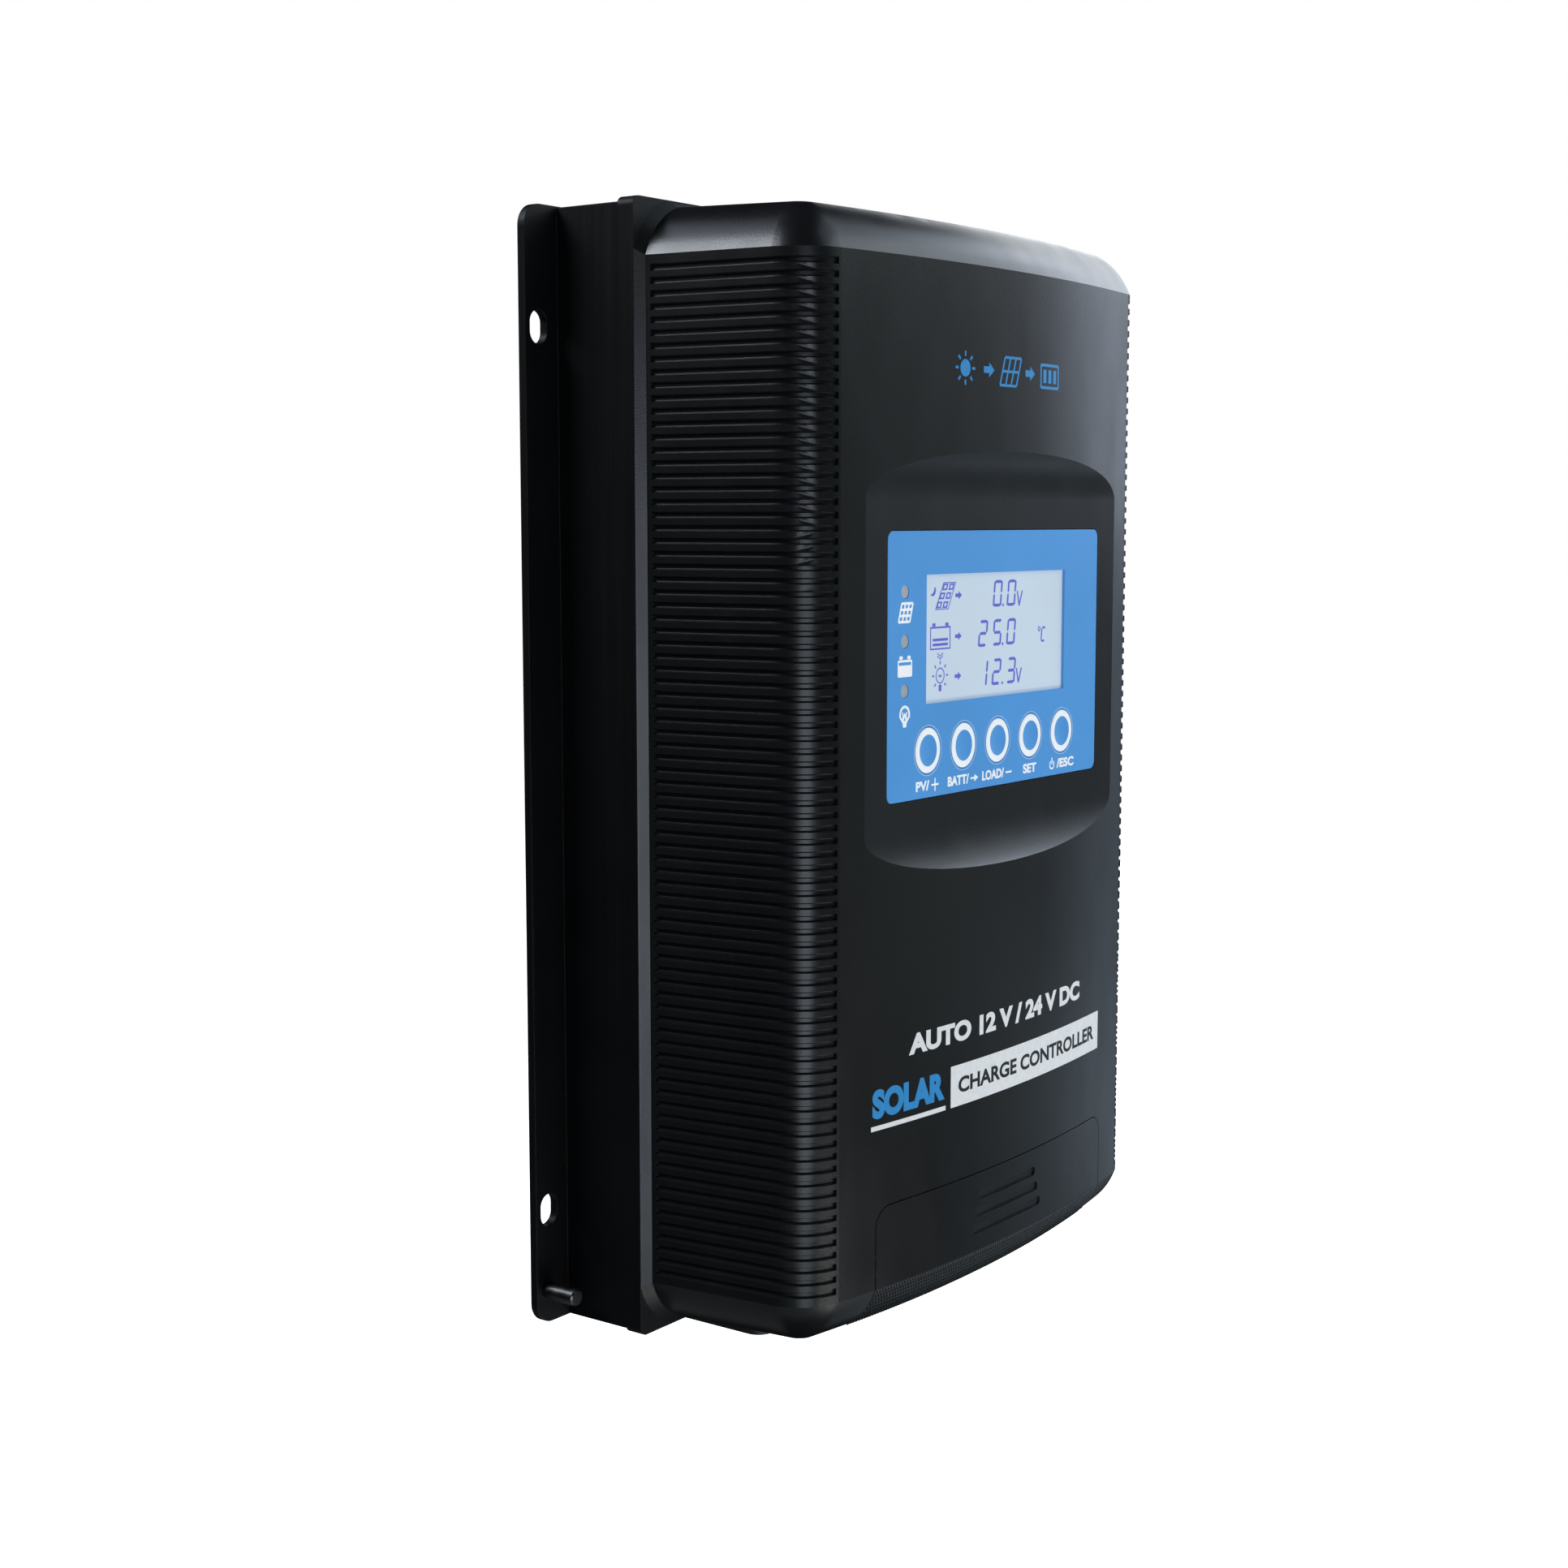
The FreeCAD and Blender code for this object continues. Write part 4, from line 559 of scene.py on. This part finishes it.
def label_icons():
    """Panel, battery and lamp, one under each status lamp."""
    icons = Print()
    panel_frame(icons, -43.1, 35.2, 4.5, 4.1, 1.3, 3, 3, 0.55)
    icons.band(rounded((-42.9, 25.55), (-37.9, 26.25), 0.1),
               rounded((-43.3, 22.95), (-37.5, 26.75), 0.35))
    for x in (-42.0, -38.8):
        icons.area(rounded((x - 0.65, 26.85), (x + 0.65, 27.65), 0.25))
    bulb(icons, (-40.4, 14.45), 2.15, 11.7, 0.6)
    icons.lay("label_icons", LABEL, WHITE_INK, BODY)


def key_outlines():
    """A thin ring round each key."""
    low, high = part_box("button_panel")
    pitch = (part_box("button_battery")[0].x - low.x) / MM
    x, z = (low.x + high.x) / 2 / MM, (low.z + high.z) / 2 / MM
    rings = Print()
    for i in range(KEY_COUNT):
        rings.ring((x + pitch * i, z), 5.66, 5.84)
    rings.lay("key_outlines", LABEL, OUTLINE_INK, BODY)


def key_legends():
    """A plain word and sign under each key."""
    middle, line = -2.3, 0.42
    legends = Print()
    for text, left, width in (("PV/", -35.6, 5.6), ("BATT/", -22.15, 9.2), ("LOAD/", -7.0, 9.9),
                              ("SET", 11.9, 6.3), ("/ESC", 28.2, 8.5)):
        legends.words(text, left, -3.35, 2.25, width, heavy=0.035)
    legends.bar((-29.1, middle), (-26.1, middle), line)
    legends.bar((-27.6, -3.8), (-27.6, -0.8), line)
    legends.bar((-12.2, middle), (-10.3, middle), line)
    legends.area([(-10.5, -3.15), (-8.9, middle), (-10.5, -1.45)])
    legends.bar((3.7, middle), (6.5, middle), line)
    stand_by = circle((25.9, -2.35), 1.2, 30, 125.0, 290.0)
    stand_by_in = circle((25.9, -2.35), 0.82, 30, 125.0, 290.0)
    for i in range(len(stand_by) - 1):
        legends.area([stand_by[i], stand_by[i + 1], stand_by_in[i + 1], stand_by_in[i]])
    legends.bar((25.9, middle), (25.9, -0.6), 0.4)
    legends.lay("key_legends", LABEL, WHITE_INK, BODY)


label_icons()
key_outlines()
key_legends()


# ---------------------------------------------------------------- display content

SEGMENTS = {"0": "abcdef", "1": "bc", "2": "abged", "3": "abgcd", "5": "afgcd"}
ROW_BASES = (37.35, 28.15, 18.85)
FIGURES = (
    (("0", "0"), (-1.9, 4.45)),
    (("2", "5", "0"), (-8.4, -1.95, 4.4)),
    (("1", "2", "3"), (-8.2, -2.1, 4.6)),
)


def digit(drawing, figure, left, base, width=3.9, height=6.25, lean=0.75, line=0.7, gap=0.1):
    """One slanted seven-segment figure."""
    def at(x, z):
        return (left + x + lean * z / height, base + z)
    half, mid = line / 2, height / 2
    spans = {
        "a": ((0, height - half), (width, height - half)),
        "b": ((width - half, height), (width - half, mid)),
        "c": ((width - half, mid), (width - half, 0)),
        "d": ((0, half), (width, half)),
        "e": ((half, mid), (half, 0)),
        "f": ((half, height), (half, mid)),
        "g": ((0, mid), (width, mid)),
    }
    for name in SEGMENTS[figure]:
        (x0, z0), (x1, z1) = spans[name]
        if name in "adg":
            x0, x1 = x0 + half + gap, x1 - half - gap
            drawing.area([at(x0, z0), at(x0 + half, z0 - half), at(x1 - half, z0 - half), at(x1, z0),
                          at(x1 - half, z0 + half), at(x0 + half, z0 + half)])
        else:
            z0, z1 = max(z0, z1) - gap - half * (max(z0, z1) > mid) * 0.4, min(z0, z1) + gap
            drawing.area([at(x0, z0), at(x0 - half, z0 - half), at(x0 - half, z1 + half), at(x0, z1),
                          at(x0 + half, z1 + half), at(x0 + half, z0 - half)])


def readings(drawing):
    """Three rows of figures with their decimal points, units and arrows."""
    for base, (figures, lefts) in zip(ROW_BASES, FIGURES):
        for figure, left in zip(figures, lefts):
            digit(drawing, figure, left, base)
        drawing.area(rounded((2.55, base), (3.2, base + 0.62), 0.12))
    for base in (ROW_BASES[0], ROW_BASES[2]):
        for start, end in (((9.4, base + 3.5), (10.35, base)), ((10.35, base), (11.75, base + 3.5))):
            drawing.bar(start, end, 0.5)
    drawing.ring((20.05, 31.35), 0.3, 0.62, 24)
    for start, end in (((22.9, 31.6), (21.6, 31.6)), ((21.4, 31.4), (21.0, 28.6)),
                       ((21.1, 28.4), (22.5, 28.4))):
        drawing.bar(start, end, 0.5)
    for base in (40.5, 31.1, 21.9):
        arrow(drawing, -18.4, base, 2.8, 1.9)


def moon_and_panel(drawing):
    moon = circle((-28.1, 41.9), 1.35, 16, -115.0, 140.0)
    drawing.area(moon + circle((-28.75, 42.35), 1.35, 16, 8.0, -105.0))
    for column in range(2):
        for row in range(3):
            left = -26.55 + column * 2.6 + row * 1.25
            base = 37.75 + row * 2.02
            cell = [(left, base), (left + 1.95, base), (left + 2.6, base + 1.5), (left + 0.65, base + 1.5)]
            middle = (left + 1.3, base + 0.75)
            inside = [(middle[0] + (x - middle[0]) * 0.5, middle[1] + (z - middle[1]) * 0.5)
                      for x, z in cell]
            drawing.band(inside, cell)
    outside = [(-27.0, 37.4), (-21.4, 37.4), (-18.1, 43.6), (-23.5, 43.6)]
    inside = [(-26.55, 37.62), (-21.53, 37.62), (-18.5, 43.38), (-23.35, 43.38)]
    drawing.band(inside, outside)


def battery(drawing):
    drawing.band([(-28.65, 28.7), (-20.75, 28.7), (-20.75, 33.2), (-28.65, 33.2)],
                 [(-29.0, 28.35), (-20.4, 28.35), (-20.4, 33.6), (-29.0, 33.6)])
    for left in (-28.1, -22.6):
        box_area(drawing, (left, 33.65), (left + 1.3, 34.4))
    for base in (29.2, 30.3):
        box_area(drawing, (-27.9, base), (-21.5, base + 0.6))


def chevrons_and_lamp(drawing):
    for z in (27.55, 26.9):
        drawing.bar((-25.9, z), (-24.72, z - 0.75), 0.24)
        drawing.bar((-24.72, z - 0.75), (-23.54, z), 0.24)
    centre = (-24.68, 22.4)
    drawing.ring(centre, 1.55, 1.85, 36)
    drawing.area(rounded((-25.25, 18.8), (-24.1, 20.35), 0.3))
    filament = [(-25.3, 22.6), (-24.95, 22.0), (-24.68, 22.6), (-24.4, 22.0), (-24.05, 22.6)]
    for start, end in zip(filament, filament[1:]):
        drawing.bar(start, end, 0.22)
    for turn in (0, 45, 90, 135, 180, 225, 315):
        way = Vector((math.cos(math.radians(turn)), math.sin(math.radians(turn))))
        drawing.bar(Vector(centre) + way * 2.55, Vector(centre) + way * 3.35, 0.42)


def display_content():
    segments = Print()
    for part in (readings, moon_and_panel, battery, chevrons_and_lamp):
        part(segments)
    segments.lay("display_segments", GLASS, LCD_INK, BODY, lift=0.03, sink=0.02)


display_content()


# ---------------------------------------------------------------- dots on the terminal cover's roll

ROLL_CREASE = -115.4 * MM
DOT_PITCH, DOT_ROWS = 0.95 * MM, 9
DOT_MARGIN = 1.0 * MM
# half width, half height and rise over the surface of a pad's base and of its crown
DOT_BASE = (0.33 * MM, 0.3 * MM, -0.08 * MM)
DOT_CROWN = (0.2 * MM, 0.16 * MM, 0.24 * MM)


def raised_pad(mesh, point, normal):
    """A small four-sided pad that stands on the surface at a point."""
    across = Vector((1, 0, 0))
    up = across.cross(normal).normalized()
    base, crown = [], []
    for u, v in ((-1, -1), (1, -1), (1, 1), (-1, 1)):
        for corners, (wide, tall, rise) in ((base, DOT_BASE), (crown, DOT_CROWN)):
            corners.append(mesh.verts.new(point + across * u * wide + up * v * tall + normal * rise))
    mesh.faces.new(crown)
    mesh.faces.new(base[::-1])
    for i in range(4):
        j = (i + 1) % 4
        mesh.faces.new((base[i], base[j], crown[j], crown[i]))


def roll_dots():
    """Small raised pads in rows along the rolled foot of the terminal cover."""
    tree = surface_tree("terminal_cover")
    low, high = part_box("terminal_cover")
    foot = low.z + 0.6 * MM
    count = int((high.x - low.x - 2 * DOT_MARGIN) / DOT_PITCH)
    mesh = bmesh.new()
    for row in range(DOT_ROWS):
        z = ROLL_CREASE + (foot - ROLL_CREASE) * row / (DOT_ROWS - 1)
        for column in range(count + 1):
            x = low.x + DOT_MARGIN + DOT_PITCH * column
            if x > high.x - DOT_MARGIN:
                continue
            point, normal, _, _ = tree.ray_cast(Vector((x, -0.2, z)), Vector((0, 1, 0)))
            if point is not None:
                raised_pad(mesh, point, -normal if normal.y > 0 else normal)
    bmesh.ops.recalc_face_normals(mesh, faces=mesh.faces)
    data = bpy.data.meshes.new("roll_dots")
    mesh.to_mesh(data)
    mesh.free()
    piece = bpy.data.objects.new("roll_dots", data)
    bpy.context.scene.collection.objects.link(piece)
    data.materials.append(HOUSING)
    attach(piece, "terminal_cover_body")


roll_dots()


# ---------------------------------------------------------------- floor, light and camera

FLOOR_GAP = 0.002           # metres between the lowered terminal cover and the floor


def make_floor():
    """A round white floor that gives light to the camera only, so that it stays plain; it glows slightly
    less near the housing, a faint painted shade under it.
    """
    mesh = bmesh.new()
    bmesh.ops.create_circle(mesh, cap_ends=True, radius=9.0, segments=96)
    data = bpy.data.meshes.new("floor")
    mesh.to_mesh(data)
    mesh.free()
    floor = bpy.data.objects.new("floor", data)
    floor.location.z = cad_box[0].z - COVER_TRAVEL - FLOOR_GAP
    bpy.context.scene.collection.objects.link(floor)
    material = bpy.data.materials.new("pale_floor")
    material.use_nodes = True
    nodes, links = material.node_tree.nodes, material.node_tree.links
    shader = nodes["Principled BSDF"]
    shader.inputs["Base Color"].default_value = (0.86, 0.87, 0.88, 1.0)
    shader.inputs["Roughness"].default_value = 0.7
    where = nodes.new("ShaderNodeTexCoord")
    length = nodes.new("ShaderNodeVectorMath")
    length.operation = "LENGTH"
    links.new(where.outputs["Object"], length.inputs[0])
    # the glow is a little weaker within half a metre of the middle: faint painted shade under the housing
    away = nodes.new("ShaderNodeMapRange")
    away.interpolation_type = "SMOOTHSTEP"
    for socket, value in (("From Min", 0.12), ("From Max", 0.5), ("To Min", 0.97), ("To Max", 1.0)):
        away.inputs[socket].default_value = value
    links.new(length.outputs["Value"], away.inputs["Value"])
    shader.inputs["Emission Color"].default_value = WHITE_GLOW
    links.new(away.outputs["Result"], shader.inputs["Emission Strength"])
    data.materials.append(material)
    floor.visible_diffuse = False
    floor.visible_glossy = False
    floor.visible_shadow = False


def make_world():
    """A white surround that only the camera sees."""
    world = bpy.data.worlds.new("studio")
    bpy.context.scene.world = world
    world.use_nodes = True
    background = world.node_tree.nodes["Background"]
    background.inputs["Color"].default_value = (1.0, 1.0, 1.0, 1.0)
    background.inputs["Strength"].default_value = 1.0
    world.cycles_visibility.diffuse = False
    world.cycles_visibility.glossy = False
    world.cycles_visibility.transmission = False
    world.cycles_visibility.scatter = False


# name, azimuth and elevation in degrees (0 is in front, 90 to the right), distance, width and
# height in metres, watts, tint
SOFTBOXES = (
    ("upper_right", 40, 50, 1.0, 0.9, 0.6, 1.5, (0.75, 0.86, 1.0)),
    ("front_right", 33, 33, 1.0, 0.8, 0.5, 2.5, (0.85, 0.97, 1.0)),
    ("front_fill", 45, 5, 1.1, 0.6, 0.9, 0.4, (0.86, 1.0, 1.0)),
    ("front_low", 5, -42, 1.0, 0.7, 0.5, 4.6, (1.0, 1.0, 0.99)),
    ("roll_glow", 78, 34, 0.45, 0.3, 0.2, 0.13, (0.85, 0.92, 1.0)),
    ("roll_rim", 96, 34, 0.45, 0.3, 0.2, 0.37, (0.9, 0.95, 1.0)),
    ("right_panel", 76, 24, 1.0, 0.35, 0.8, 1.2, (0.75, 0.83, 1.0)),
    ("right_tall", 78, 12, 1.0, 0.3, 1.3, 0.72, (0.67, 0.83, 1.0)),
    ("right_behind", 122, 2, 1.0, 0.4, 1.2, 3.0, (0.9, 0.96, 1.0)),
    ("right_low", 75, -35, 1.0, 0.7, 0.7, 0.42, (0.71, 0.86, 1.0)),
    ("left_behind", -124, 42, 1.0, 0.45, 0.3, 4.3, (0.8, 0.89, 1.0)),
    ("left_rim", -118, 38, 1.0, 0.3, 0.25, 1.6, (1.0, 0.9, 0.85)),
    ("far_behind", -150, 45, 1.0, 0.6, 0.6, 1.8, (0.77, 0.86, 1.0)),
    ("floor_bounce", -158, -48, 0.9, 0.8, 0.8, 0.25, (0.9, 1.0, 1.0)),
    ("left_low", -60, -50, 0.9, 0.8, 0.8, 0.5, (0.82, 1.0, 0.95)),
    ("corner_panel", -44, -9, 1.0, 0.4, 0.55, 2.2, (0.79, 0.88, 1.0)),
)
LAMP_TARGET = Vector((0, -0.04, 0))


def softbox(name, azimuth, elevation, distance, width, height, watts, tint):
    """A rectangular lamp that faces the middle of the housing."""
    a, e = math.radians(azimuth), math.radians(elevation)
    way = Vector((math.sin(a) * math.cos(e), -math.cos(a) * math.cos(e), math.sin(e)))
    data = bpy.data.lights.new(name, "AREA")
    data.shape = "RECTANGLE"
    data.size, data.size_y = width, height
    data.energy = watts
    data.color = tint
    lamp = bpy.data.objects.new(name, data)
    lamp.location = LAMP_TARGET + way * distance
    lamp.rotation_euler = (-way).to_track_quat("-Z", "Y").to_euler()
    bpy.context.scene.collection.objects.link(lamp)


def make_camera():
    """The viewing angle: from the front left, a little above the middle."""
    data = bpy.data.cameras.new("camera")
    data.lens = 52.99
    data.sensor_width = 36.0
    camera = bpy.data.objects.new("camera", data)
    camera.location = (-0.4702, -0.3512, 0.0582)
    camera.rotation_euler = (math.radians(90 - 6.58), 0.0, math.radians(-53.73))
    bpy.context.scene.collection.objects.link(camera)
    bpy.context.scene.camera = camera


make_floor()
make_world()
for lamp_values in SOFTBOXES:
    softbox(*lamp_values)
make_camera()
bpy.context.scene.view_settings.view_transform = "Standard"
